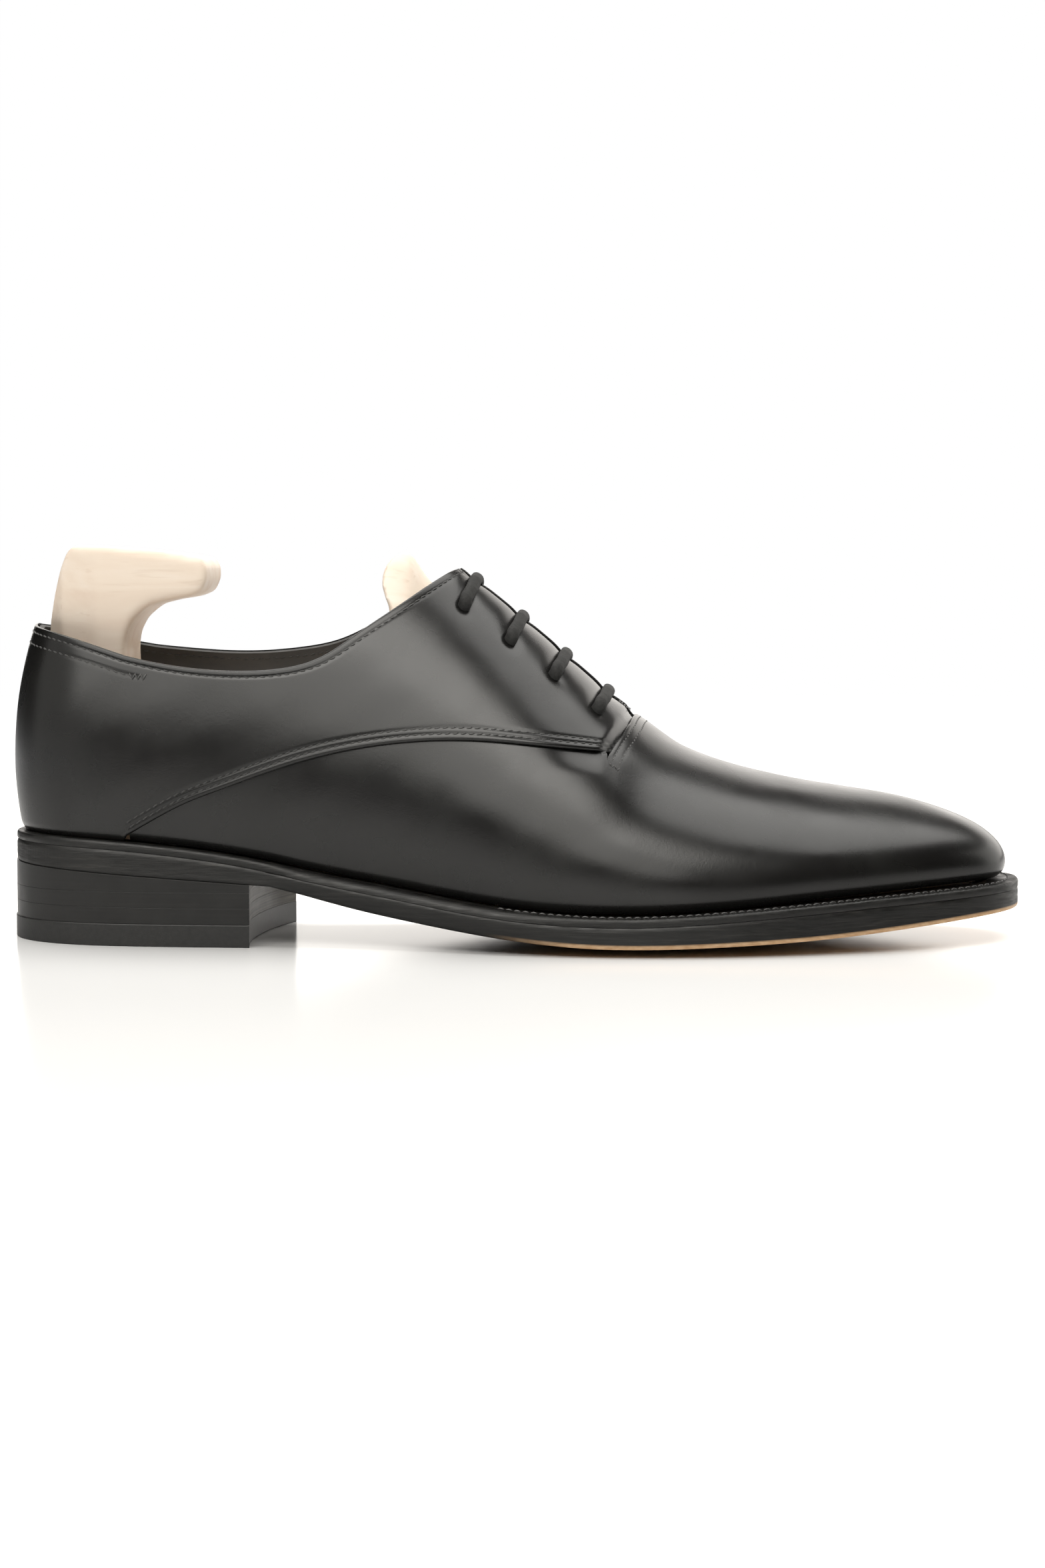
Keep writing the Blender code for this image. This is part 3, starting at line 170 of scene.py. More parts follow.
# ---------------------------------------------------------------- curves
def through(points):
    """The smooth function through (x, y) points, straight beyond its ends."""
    x, y = np.array(points, float).T
    step = np.diff(x)
    rise = np.diff(y) / step
    system, right = np.eye(len(x)), np.zeros(len(x))
    for i in range(1, len(x) - 1):
        system[i, i - 1:i + 2] = step[i - 1], 2 * (step[i - 1] + step[i]), step[i]
        right[i] = 6 * (rise[i] - rise[i - 1])
    bend = np.linalg.solve(system, right)
    first = rise[0] - step[0] * bend[1] / 6
    last = rise[-1] + step[-1] * bend[-2] / 6

    def value(at):
        at = np.asarray(at, float)
        inside = np.clip(at, x[0], x[-1])
        k = np.clip(np.searchsorted(x, inside, side="right") - 1, 0, len(step) - 1)
        a, h = inside - x[k], step[k]
        b = h - a
        curve = (bend[k] * b**3 + bend[k + 1] * a**3) / (6 * h)
        line = (y[k] / h - bend[k] * h / 6) * b + (y[k + 1] / h - bend[k + 1] * h / 6) * a
        return curve + line + first * np.minimum(at - x[0], 0) + last * np.maximum(at - x[-1], 0)

    return value


def loop_through(points, count=1600):
    """A smooth closed plan curve through the points, as many points of it."""
    corner = np.array(points, float)
    chord = np.linalg.norm(np.roll(corner, -1, 0) - corner, axis=1)
    size = len(corner)
    system, right = np.zeros((size, size)), np.zeros((size, 2))
    for i in range(size):
        before, after, following = chord[i - 1], chord[i], (i + 1) % size
        system[i, (i - 1) % size] += before
        system[i, i] += 2 * (before + after)
        system[i, following] += after
        right[i] = 6 * ((corner[following] - corner[i]) / after - (corner[i] - corner[i - 1]) / before)
    bend = np.linalg.solve(system, right)
    reach = np.concatenate([[0], np.cumsum(chord)])
    place = np.linspace(0, reach[-1], count, endpoint=False)
    k = np.searchsorted(reach, place, side="right") - 1
    after = (k + 1) % size
    h = chord[k][:, None]
    a = (place - reach[k])[:, None]
    b = h - a
    curve = (bend[k] * b**3 + bend[after] * a**3) / (6 * h)
    return curve + (corner[k] / h - bend[k] * h / 6) * b + (corner[after] / h - bend[after] * h / 6) * a


def moved_in(loop, distance):
    """A closed counter-clockwise plan curve moved towards its inside."""
    along = np.roll(loop, -1, 0) - np.roll(loop, 1, 0)
    along /= np.linalg.norm(along, axis=1)[:, None]
    inward = np.stack([-along[:, 1], along[:, 0]], 1)
    return loop + inward * np.broadcast_to(distance, len(loop))[:, None]


def smooth_step(value, start, end):
    part = np.clip((value - start) / (end - start), 0, 1)
    return part * part * (3 - 2 * part)


def slope(curve, at, step=1e-3):
    return (curve(at + step) - curve(at - step)) / (2 * step)


feather_height = through(FEATHER_HEIGHT)
spine_height = through(SPINE_HEIGHT)
spine_y = through(SPINE_Y)
bulge = through(BULGE)
forepart_edge = through(SOLE_EDGE[1:])
sole_crown = through(SOLE_CROWN)
side_seam_height = through(SIDE_SEAM)
topline_height = {side: through(points) for side, points in TOPLINE.items()}

CAD_SOLE_LOOP = loop_through(SOLE_OUTLINE)
SOLE_LOOP = moved_in(CAD_SOLE_LOOP, SOLE_INSIDE)
FEATHER_LOOP = moved_in(CAD_SOLE_LOOP, through(FEATHER_INSET)(CAD_SOLE_LOOP[:, 0]))


# ---------------------------------------------------------------- the last
def spine_x(station):
    part = np.clip((station - HEEL_FAN) / (TOE_FAN - HEEL_FAN), 0, 1)
    return HEEL_FAN_X + (TOE_FAN_X - HEEL_FAN_X) * part


def station_at(x):
    return HEEL_FAN + (TOE_FAN - HEEL_FAN) * (x - HEEL_FAN_X) / (TOE_FAN_X - HEEL_FAN_X)


STATION_MM = (TOE_FAN_X - HEEL_FAN_X) / (TOE_FAN - HEEL_FAN)


class Plan:
    """A closed plan curve, read by side and station."""

    def __init__(self, loop):
        loop = np.roll(loop, -int(np.argmin(loop[:, 0])), 0)
        tip = int(np.argmax(loop[:, 0]))
        self.halves = {-1: loop[:tip + 1], 1: np.vstack([loop[tip:], loop[:1]])[::-1]}

    def at(self, side, station):
        """Points for arrays of sides and stations; past an end the curve goes on round the other side."""
        side, station = np.broadcast_arrays(np.asarray(side), np.asarray(station, float))
        beyond = (station < 0) | (station > 1)
        side = np.where(beyond, -side, side)
        station = np.abs(station)
        station = 1 - np.abs(1 - station)
        found = np.zeros(station.shape + (2,))
        for one_side, half in self.halves.items():
            self.read_half(one_side, half, station, side == one_side, found)
        return found

    @staticmethod
    def read_half(side, half, station, chosen, found):
        heel = chosen & (station < HEEL_FAN)
        toe = chosen & (station > TOE_FAN)
        middle = chosen & ~heel & ~toe
        near = half[half[:, 0] < HEEL_FAN_X + 8]
        turn = np.arctan2(side * (near[:, 1] - spine_y(HEEL_FAN_X)), HEEL_FAN_X - near[:, 0])
        for axis in (0, 1):
            found[heel, axis] = np.interp(station[heel] / HEEL_FAN * HALF_TURN, turn, near[:, axis])
        far = half[half[:, 0] > TOE_FAN_X - 8][::-1]
        turn = np.arctan2(side * (far[:, 1] - spine_y(TOE_FAN_X)), far[:, 0] - TOE_FAN_X)
        angle = (1 - station[toe]) / (1 - TOE_FAN) * HALF_TURN
        for axis in (0, 1):
            found[toe, axis] = np.interp(angle, turn, far[:, axis])
        between = half[(half[:, 0] > -140) & (half[:, 0] < 140)]
        found[middle, 0] = spine_x(station[middle])
        found[middle, 1] = np.interp(found[middle, 0], between[:, 0], between[:, 1])


SOLE_PLAN = Plan(SOLE_LOOP)
FEATHER_PLAN = Plan(FEATHER_LOOP)
TOE_SLOPE = float(slope(spine_height, TOE_FAN_X, 1.0))
BULGE_TOP = BULGE_RISE / (BULGE_RISE + BULGE_FALL)
BULGE_SCALE = BULGE_TOP**BULGE_RISE * (1 - BULGE_TOP)**BULGE_FALL


def spine_point(station):
    x = spine_x(np.asarray(station, float))
    return np.stack([x, spine_y(x)], -1)


def last_surface(side, station, angle):
    """The last's surface, as an array of points."""
    side, station, angle = np.broadcast_arrays(side, np.asarray(station, float), np.asarray(angle, float))
    foot = FEATHER_PLAN.at(side, station)
    folded = 1 - np.abs(1 - np.abs(station))
    top = spine_point(folded)
    reach = np.linalg.norm(foot - top, axis=-1)
    away = (foot - top) / reach[..., None]
    low = feather_height(foot[..., 0])
    rise = np.clip(np.sin(angle), 0, 1)
    swell = rise**BULGE_RISE * (1 - rise)**BULGE_FALL / BULGE_SCALE
    out = reach * np.maximum(np.cos(angle), 0) + bulge(top[..., 0]) * swell
    height = low + (spine_height(top[..., 0]) - low) * rise
    toe = np.sin(np.clip((folded - TOE_FAN) / (1 - TOE_FAN), 0, 1) * HALF_TURN)
    height = height + toe * TOE_SLOPE * out * np.maximum(0, 1 - out / reach)**1.2
    return np.concatenate([top + away * out[..., None], height[..., None]], -1)


def last_normal(side, station, angle):
    """The outward normal; on the spine it has no sideways part."""
    side, station, angle = np.broadcast_arrays(side, np.asarray(station, float), np.asarray(angle, float))
    tilt = np.clip(angle, 0.02, HALF_TURN - 0.04)
    along = last_surface(side, station + 0.002, tilt) - last_surface(side, station - 0.002, tilt)
    up = last_surface(side, station, tilt + 0.02) - last_surface(side, station, tilt - 0.02)
    normal = np.cross(along, up) * -side[..., None]
    normal /= np.linalg.norm(normal, axis=-1)[..., None]
    x = spine_x(station)
    fall = slope(spine_height, x, 1.0)
    ridge = np.stack([-fall, np.zeros_like(fall), np.ones_like(fall)], -1)
    ridge /= np.linalg.norm(ridge, axis=-1)[..., None]
    part = smooth_step(angle, HALF_TURN - 0.12, HALF_TURN - 0.01)[..., None]
    normal = normal * (1 - part) + ridge * part
    return normal / np.linalg.norm(normal, axis=-1)[..., None]


def under_surface(side, station, angle, depth):
    """A point this deep under the surface, and never below the feather line."""
    inward = last_normal(side, station, angle) * np.asarray(depth)[..., None]
    place = last_surface(side, station, angle) - inward
    place[..., 2] = np.maximum(place[..., 2], feather_height(place[..., 0]))
    return place


def angle_at_height(side, station, height):
    low = feather_height(FEATHER_PLAN.at(side, station)[..., 0])
    top = spine_height(spine_x(station))
    return np.arcsin(np.clip((height - low) / (top - low), 0, 1))


def angle_beside_spine(side, station, distance):
    reach = np.linalg.norm(FEATHER_PLAN.at(side, station) - spine_point(station), axis=-1)
    return np.arccos(np.clip(distance / reach, 0, 1))


def topline_angle(side, station):
    """The collar and then the facing's edge, with a rounded corner between them."""
    height = np.where(side < 0, topline_height[-1](station), topline_height[1](station))
    collar = np.where(station < 0.46, angle_at_height(side, station, height), HALF_TURN)
    facing = angle_beside_spine(side, station, FACING_SLIT)
    blend = 0.2
    part = np.clip(0.5 + (collar - facing) / (2 * blend), 0, 1)
    return collar * (1 - part) + facing * part - blend * part * (1 - part)


def seam_angle(side, station):
    angle = angle_at_height(side, station, side_seam_height(station))
    return np.where(station < SIDE_SEAM[0][0], 0.0, angle)


def throat_station(angle):
    line = np.array(THROAT)
    return np.interp(angle, line[:, 1], line[:, 0])


def throat_angle(station):
    line = np.array(THROAT)
    return np.interp(station, line[:, 0], line[:, 1])


def mm_per_unit(side, station, angle):
    """How far one unit of station and one of angle reach over the surface."""
    across = last_surface(side, station + 1e-3, angle) - last_surface(side, station - 1e-3, angle)
    up = last_surface(side, station, angle + 1e-3) - last_surface(side, station, angle - 1e-3)
    sizes = (np.linalg.norm(step, axis=-1) / 2e-3 for step in (across, up))
    return tuple(np.maximum(size, 0.5) for size in sizes)


def edge_distance(side, station, angle, edge):
    """Distance over the surface from a panel's edge, an angle as a function of (side, station)."""
    along, up = mm_per_unit(side, station, angle)
    steep = (edge(side, station + 1e-3) - edge(side, station - 1e-3)) / 2e-3
    return (angle - edge(side, station)) * up / np.sqrt(1 + (steep * up / along)**2)


def beside_edge(side, station, edge, distance):
    """Stations and angles of a line at this distance above a panel's edge."""
    angle = edge(side, station)
    along, up = mm_per_unit(side, station, angle)
    steep = (edge(side, station + 1e-3) - edge(side, station - 1e-3)) / 2e-3 * up / along
    size = np.sqrt(1 + steep**2)
    return station - distance * steep / size / along, angle + distance / size / up


# ---------------------------------------------------------------- materials
def new_look(name, colour, roughness, **sockets):
    look = bpy.data.materials.new(name)
    look.use_nodes = True
    shader = look.node_tree.nodes["Principled BSDF"]
    shader.inputs["Base Color"].default_value = (*colour, 1)
    shader.inputs["Roughness"].default_value = roughness
    for socket, value in sockets.items():
        shader.inputs[socket.replace("_", " ")].default_value = value
    return look


def add_node(look, kind, wires=(), **values):
    """A node with values on its sockets, and wires as (socket, source output)."""
    node = look.node_tree.nodes.new(kind)
    for socket, value in values.items():
        node.inputs[socket.replace("_", " ")].default_value = value
    for socket, source in wires:
        look.node_tree.links.new(source, node.inputs[socket])
    return node


def to_shader(look, socket, source):
    look.node_tree.links.new(source, look.node_tree.nodes["Principled BSDF"].inputs[socket])


def tint(look, source, *stops):
    to_shader(look, "Base Color", ramp(look, source, *stops))


def polish(look, source, *stops):
    to_shader(look, "Roughness", ramp(look, source, *stops))


def place_in(look, stretch=(1, 1, 1)):
    """The piece's own coordinates in metres, stretched."""
    where = add_node(look, "ShaderNodeTexCoord")
    mapping = add_node(look, "ShaderNodeMapping", [("Vector", where.outputs["Object"])])
    mapping.inputs["Scale"].default_value = stretch
    return mapping.outputs[0]


def noise(look, scale, detail=3.0, stretch=(1, 1, 1), distortion=0.0):
    return add_node(
        look, "ShaderNodeTexNoise", [("Vector", place_in(look, stretch))],
        Scale=scale, Detail=detail, Distortion=distortion,
    ).outputs[0]


def cells(look, scale):
    """Distance to the nearest of many scattered points."""
    return add_node(look, "ShaderNodeTexVoronoi", [("Vector", place_in(look))], Scale=scale).outputs[0]


def ramp(look, source, *stops):
    """A colour or grey ramp: stops are (position, colour)."""
    node = add_node(look, "ShaderNodeValToRGB", [("Fac", source)])
    while len(node.color_ramp.elements) < len(stops):
        node.color_ramp.elements.new(0.5)
    for element, (position, colour) in zip(node.color_ramp.elements, stops):
        element.position = position
        element.color = (*colour, 1) if isinstance(colour, tuple) else (colour, colour, colour, 1)
    return node.outputs[0]


def blend_colours(look, factor, one, other):
    node = look.node_tree.nodes.new("ShaderNodeMix")
    node.data_type = "RGBA"
    links = look.node_tree.links
    for socket, value in ((0, factor), (6, one), (7, other)):
        if isinstance(value, bpy.types.NodeSocket):
            links.new(value, node.inputs[socket])
        else:
            node.inputs[socket].default_value = value if socket == 0 else (*value, 1)
    return node.outputs[2]


def add_bump(look, layers):
    """Bumps in a chain: layers are (height source, how deep in mm)."""
    normal = None
    for source, depth in layers:
        wires = [("Height", source)] + ([("Normal", normal)] if normal else [])
        normal = add_node(look, "ShaderNodeBump", wires, Strength=1.0, Distance=depth * MM).outputs[0]
    to_shader(look, "Normal", normal)


def attribute(look, name):
    node = look.node_tree.nodes.new("ShaderNodeAttribute")
    node.attribute_name = name
    return node.outputs["Fac"]


def calf_look():
    """Polished box calf: fine grain and pores, soft uneven polish."""
    look = new_look("box_calf", (0.006, 0.0057, 0.0053), 0.3, IOR=1.4)
    patches = noise(look, 28, 3)
    tint(look, patches, (0.3, (0.0042, 0.0041, 0.0039)), (0.75, (0.0085, 0.0082, 0.0075)))
    polish(look, noise(look, 60, 4), (0.3, 0.23), (0.72, 0.31))
    add_bump(look, [(noise(look, 900, 3), 0.012), (cells(look, 2300), 0.006), (noise(look, 120, 2), 0.03)])
    return look


def lining_look():
    look = new_look("lining_leather", (0.02, 0.018, 0.016), 0.6)
    tint(look, noise(look, 90, 4), (0.3, (0.012, 0.011, 0.010)), (0.8, (0.032, 0.029, 0.026)))
    add_bump(look, [(noise(look, 1200, 4), 0.02)])
    return look


def edge_look():
    """Burnished sole edge: wax over layered fibres, lighter in streaks; tan where the attribute says."""
    look = new_look("sole_edge", (0.02, 0.019, 0.018), 0.42, IOR=1.34)
    streaks = noise(look, 60, 6, (1, 1, 14), 0.4)
    black = ramp(
        look, streaks,
        (0.35, (0.0035, 0.0034, 0.0031)), (0.62, (0.009, 0.0087, 0.008)), (0.82, (0.03, 0.028, 0.025)),
    )
    fibres = noise(look, 350, 4, (1, 1, 3))
    tan = ramp(look, fibres, (0.3, (0.42, 0.25, 0.12)), (0.75, (0.62, 0.42, 0.25)))
    to_shader(look, "Base Color", blend_colours(look, attribute(look, "tan"), black, tan))
    polish(look, noise(look, 200, 4, (1, 1, 5)), (0.3, 0.32), (0.75, 0.6))
    add_bump(look, [(noise(look, 130, 5, (1, 1, 12)), 0.12), (noise(look, 1500, 3), 0.02)])
    return look


def heel_look():
    """Waxed heel side: nearly smooth, faint lines of the lifts."""
    look = new_look("heel_edge", (0.02, 0.0195, 0.018), 0.36, IOR=1.38)
    lines = noise(look, 40, 6, (0.6, 0.6, 30), 0.2)
    black = ramp(
        look, lines,
        (0.35, (0.0085, 0.0083, 0.0078)), (0.7, (0.0105, 0.0102, 0.0096)), (0.9, (0.0125, 0.012, 0.0113)),
    )
    raw_lines = noise(look, 45, 6, (0.5, 0.5, 34), 0.3)
    raw = ramp(
        look, raw_lines,
        (0.3, (0.03, 0.025, 0.018)), (0.55, (0.10, 0.088, 0.068)), (0.8, (0.17, 0.15, 0.115)),
    )
    to_shader(look, "Base Color", blend_colours(look, attribute(look, "tan"), black, raw))
    to_shader(look, "Specular IOR Level", ramp(look, attribute(look, "tan"), (0, 0.45), (1, 0.12)))
    polish(look, noise(look, 150, 4), (0.3, 0.3), (0.75, 0.42))
    add_bump(look, [(lines, 0.006), (noise(look, 1500, 3), 0.01)])
    return look


def thread_look():
    look = new_look("thread", (0.03, 0.028, 0.026), 0.55, Sheen_Weight=0.2)
    tint(look, noise(look, 900, 2), (0.3, (0.006, 0.0058, 0.0055)), (0.8, (0.022, 0.021, 0.019)))
    add_bump(look, [(noise(look, 3000, 2), 0.02)])
    return look


def lace_look():
    """Waxed cotton: a matt black weave."""
    look = new_look("waxed_cotton", (0.02, 0.02, 0.019), 0.75, IOR=1.35)
    tint(look, noise(look, 1100, 3), (0.3, (0.006, 0.006, 0.0058)), (0.8, (0.02, 0.0195, 0.0185)))
    add_bump(look, [(noise(look, 2600, 3), 0.05)])
    return look


def beech_look():
    """Sanded beech: pale, with long soft grain and short darker flecks."""
    look = new_look("beech", (0.86, 0.68, 0.5), 0.48)
    grain = noise(look, 55, 5, (0.35, 3.2, 3.2), 0.6)
    base = ramp(look, grain, (0.3, (0.81, 0.66, 0.53)), (0.55, (0.87, 0.74, 0.61)), (0.8, (0.91, 0.80, 0.69)))
    flecks = noise(look, 420, 2, (0.12, 1.6, 1.6))
    mark = ramp(look, flecks, (0.62, 0.0), (0.74, 0.35))
    to_shader(look, "Base Color", blend_colours(look, mark, base, (0.66, 0.5, 0.37)))
    polish(look, noise(look, 200, 3), (0.3, 0.42), (0.7, 0.58))
    add_bump(look, [(noise(look, 500, 4, (0.1, 2, 2)), 0.02)])
    return look


def metal_look(name, colour, roughness):
    look = new_look(name, colour, roughness, Metallic=1.0)
    polish(look, noise(look, 500, 4, (1, 1, 6)), (0.3, roughness * 0.8), (0.7, roughness * 1.4))
    add_bump(look, [(noise(look, 900, 3), 0.01)])
    return look


def grained_look(name, dark, light, roughness, scale, **sockets):
    """A plain natural material with a speckled colour and a fine rough surface."""
    look = new_look(name, light, roughness, **sockets)
    tint(look, noise(look, scale, 6), (0.32, dark), (0.7, light))
    add_bump(look, [(noise(look, scale * 3, 4), 0.04)])
    return look


CALF, LINING, EDGE, HEEL, THREAD, LACE, BEECH = (
    calf_look(), lining_look(), edge_look(), heel_look(), thread_look(), lace_look(), beech_look()
)
STEEL = metal_look("steel", (0.62, 0.61, 0.59), 0.3)
BRASS = metal_look("brass", (0.73, 0.52, 0.22), 0.32)
BOARD = grained_look("leather_board", (0.22, 0.14, 0.08), (0.36, 0.25, 0.16), 0.85, 400)
VEG_LEATHER = grained_look("insole_leather", (0.42, 0.27, 0.15), (0.58, 0.41, 0.26), 0.6, 250)
CORK = grained_look("cork", (0.25, 0.15, 0.08), (0.5, 0.34, 0.19), 0.9, 500)
RUBBER = grained_look("rubber", (0.009, 0.009, 0.0087), (0.014, 0.0138, 0.0132), 0.45, 700, IOR=1.38)
PAPER = grained_look("sock_leather", (0.018, 0.016, 0.014), (0.035, 0.032, 0.028), 0.5, 300)


# ---------------------------------------------------------------- mesh helpers
def add_mesh(name, verts, faces, look, body="shoe", weld=0.002, sharp=50, tan=None):
    """A mesh from millimetre points, welded and facing outwards."""
    mesh = bpy.data.meshes.new(name)
    mesh.from_pydata((np.asarray(verts) * MM).tolist(), [], [list(face) for face in faces])
    if tan is not None:
        layer = mesh.attributes.new("tan", "FLOAT", "POINT")
        layer.data.foreach_set("value", np.ascontiguousarray(tan, np.float32))
    bm = bmesh.new()
    bm.from_mesh(mesh)
    if weld:
        bmesh.ops.remove_doubles(bm, verts=bm.verts, dist=weld * MM)
        bmesh.ops.dissolve_degenerate(bm, dist=1e-7, edges=bm.edges)
    bmesh.ops.recalc_face_normals(bm, faces=bm.faces)
    bm.to_mesh(mesh)
    bm.free()
    mesh.shade_smooth()
    mesh.set_sharp_from_angle(angle=math.radians(sharp))
    mesh.materials.append(look)
    piece = bpy.data.objects.new(name, mesh)
    bpy.context.scene.collection.objects.link(piece)
    piece["body"] = body
    return piece


def grid_faces(columns, rows, round_columns=False, round_rows=False):
    """Quads over a grid of points, column by column."""
    i = np.arange(columns if round_columns else columns - 1)
    j = np.arange(rows if round_rows else rows - 1)
    i, j = np.meshgrid(i, j, indexing="ij")
    right, up = (i + 1) % columns, (j + 1) % rows
    return np.stack([i * rows + j, right * rows + j, right * rows + up, i * rows + up], -1).reshape(-1, 4)


def tube_faces(columns, rows):
    """Faces of a closed tube: a grid whose rows go round, and then the points that close its two ends."""
    faces = [list(face) for face in grid_faces(columns, rows, round_rows=True)]
    first, last, end = columns * rows, columns * rows + 1, (columns - 1) * rows
    for j in range(rows):
        faces.append([first, (j + 1) % rows, j])
        faces.append([last, end + j, end + (j + 1) % rows])
    return faces


def apply_modifiers(piece):
    view = bpy.context.evaluated_depsgraph_get()
    view.update()
    mesh = bpy.data.meshes.new_from_object(piece.evaluated_get(view))
    piece.modifiers.clear()
    piece.data = mesh
    return piece


def finish_piece(piece, *nodes, slot=None):
    """The piece rides on its body and stands for these CAD nodes."""
    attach(piece, piece["body"])
    if nodes:
        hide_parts(*nodes)
    return piece


# ---------------------------------------------------------------- the upper's panels
def even_stations(start, end, spacing):
    """Stations with this spacing in mm, closer together where they turn round the heel and the toe."""
    fine = np.linspace(start, end, 4000)
    reach = FEATHER_PLAN.at(np.full(len(fine), -1), fine)
    size = np.maximum(np.linalg.norm(np.diff(reach, axis=0), axis=1), 1e-6)
    total = np.concatenate([[0], np.cumsum(size)])
    count = int(round(total[-1] / spacing)) + 1
    return np.interp(np.linspace(0, total[-1], count), total, fine)


def graded(count, crowding=0.8):
    """Fractions from 0 to 1, closer together at both ends."""
    part = np.linspace(0, 1, count)
    return part - crowding * np.sin(2 * math.pi * part) / (2 * math.pi)


def both_sides(stations_there):
    """Sides and stations from the lateral side round the toe to the medial side."""
    sides = np.concatenate([np.full(len(stations_there), -1), np.full(len(stations_there) - 1, 1)])
    return sides, np.concatenate([stations_there, stations_there[-2::-1]])


def rounded_edge(distance, radius=EDGE_ROUNDING):
    """How much deeper a folded edge lies, near a border."""
    part = np.clip(1 - distance / radius, 0, 1)
    return radius * (1 - np.sqrt(np.maximum(1 - part**2, 0)))


def groove(distance, place, width=0.45, depth=0.16):
    return depth * np.exp(-((distance - place) / width)**2)


def unevenness(point):
    """Small soft unevenness of stretched leather, mm."""
    x, y, z = point[..., 0], point[..., 1], point[..., 2]
    wave = np.sin(x / 9.7 + 0.6 * np.sin(z / 11)) * np.sin(z / 8.3 + y / 17)
    wave = wave + 0.6 * np.sin(x / 4.9 - z / 6.1 + 1.3) * np.sin(y / 7.7 + z / 5.3)
    return 0.055 * wave


def sheet(name, sides, at, rows, low, high, depth, thick, look):
    """A leather panel between two edges; depth is a function of (side, station, angle)."""
    low_angle, high_angle = low(sides, at), high(sides, at)
    part = graded(rows)
    angle = low_angle[:, None] + (high_angle - low_angle)[:, None] * part[None, :]
    side = np.repeat(sides[:, None], rows, 1)
    station = np.repeat(at[:, None], rows, 1)
    place = last_surface(side, station, angle)
    deep = depth(side, station, angle) + unevenness(place)
    place = under_surface(side, station, angle, deep)
    return thickened(name, place, thick, look)


def thickened(name, place, thick, look):
    columns, rows = place.shape[:2]
    piece = add_mesh(name, place.reshape(-1, 3), grid_faces(columns, rows), look)
    total = 0.0
    for face in piece.data.polygons:
        middle = Vector((min(max(face.center.x, -0.11), 0.1), 0, 0.04))
        total += face.normal.dot(face.center - middle) * face.area
    if total < 0:
        piece.data.flip_normals()
    shell = piece.modifiers.new("thickness", "SOLIDIFY")
    shell.thickness = thick * MM
    shell.offset = -1
    shell.use_even_offset = False
    apply_modifiers(piece)
    piece.data.set_sharp_from_angle(angle=math.radians(60))
    return piece


def feather(side, station):
    return np.zeros(np.shape(station))


def throat_distance(station, angle):
    """Distance ahead of the vamp's throat edge, mm; negative behind it."""
    line = throat_station(np.clip(angle, THROAT[0][1], HALF_TURN))
    steep = np.interp(angle, np.array(THROAT)[:, 1], (0.047, 0.047, 0.035, 0.02, 0.01))
    return (station - line) * STATION_MM / np.sqrt(1 + (steep * STATION_MM / 42)**2)


def quarter_depth(side, station, angle):
    seam = edge_distance(side, station, angle, seam_angle)
    top = -edge_distance(side, station, angle, topline_angle)
    ahead = throat_distance(station, angle)
    depth = QUARTER_DEPTH + (QUARTER_UNDER_VAMP - QUARTER_DEPTH) * smooth_step(ahead, -3.2, -0.2)
    on_side = station > SIDE_SEAM[0][0] + 0.002
    depth = depth + np.where(on_side, rounded_edge(seam), 0)
    depth = depth + rounded_edge(top, 0.7)
    facing = smooth_step(station, 0.44, 0.46) * np.where(np.asarray(side) > 0, 1, 0)
    depth = depth - FACING_RAISED * facing * (1 - smooth_step(top, 1.0, 4.0))
    for place in SEAM_ROWS:
        depth = depth + np.where(on_side, groove(seam, place), 0)
    collar = 1 - smooth_step(station, 0.45, 0.47)
    depth = depth + groove(top, TOPLINE_ROW) * collar
    band = 1 - smooth_step(station, HEEL_BAND_END, HEEL_BAND_END + 0.006)
    depth = depth + groove(top, HEEL_BAND_ROW) * band
    back_seam = station * 37 * HALF_TURN / HEEL_FAN
    depth = depth + rounded_edge(back_seam, 0.35) + eyelet_dimples(station, angle)
    return depth + tuck(side, station, angle)


def eyelet_dimples(station, angle):
    """The facing dips under each lace, from the eyelet to the slit, and is drawn up between the laces."""
    dip = np.zeros(np.shape(station))
    for place in EYELET_STATIONS:
        ahead = place + LACE_LEAN * smooth_step(angle, EYELET_ANGLE, HALF_TURN)
        far = np.hypot((station - ahead) * STATION_MM, np.maximum(EYELET_ANGLE - angle, 0) * 45)
        dip = dip + FACING_DIP * np.exp(-(far / 2.3)**2)
    return dip


def tuck(side, station, angle):
    """The upper turns in under itself just above the welt."""
    height = angle * mm_per_unit(side, station, np.maximum(angle, 0.01))[1]
    return TUCK_DEPTH * np.clip(1 - height / TUCK_HEIGHT, 0, 1)**2


def vamp_top(side, station):
    lap = 6.0 * (1 - smooth_step(station, 0.5, 0.585)) + 0.2
    under = angle_at_height(side, station, side_seam_height(station) + lap)
    return np.where(station < THROAT[0][0], under, throat_angle(station))


def vamp_depth(side, station, angle):
    ahead = throat_distance(station, angle)
    seam_below = edge_distance(side, station, angle, seam_angle)
    near = smooth_step(station, 0.586, 0.594)
    free = 1 - smooth_step(seam_below, -7.5, -0.2)
    rising = near * (1 - free) + smooth_step(station, 0.53, 0.605) * free
    mouth = (1 - smooth_step(ahead, 2.5, 16)) * rising * smooth_step(seam_below, -24, -1)
    depth = VAMP_DEPTH + (VAMP_MOUTH_DEPTH - VAMP_DEPTH) * mouth
    beside_slit = near * smooth_step(seam_below, -1.0, -0.1)
    depth = depth + rounded_edge(np.where(station > 0.59, ahead, 9), 0.7) * beside_slit
    for place in THROAT_ROWS:
        depth = depth + groove(ahead, place, 0.35, 0.08) * near * smooth_step(seam_below, -3, -1)
    return depth + tuck(side, station, angle)


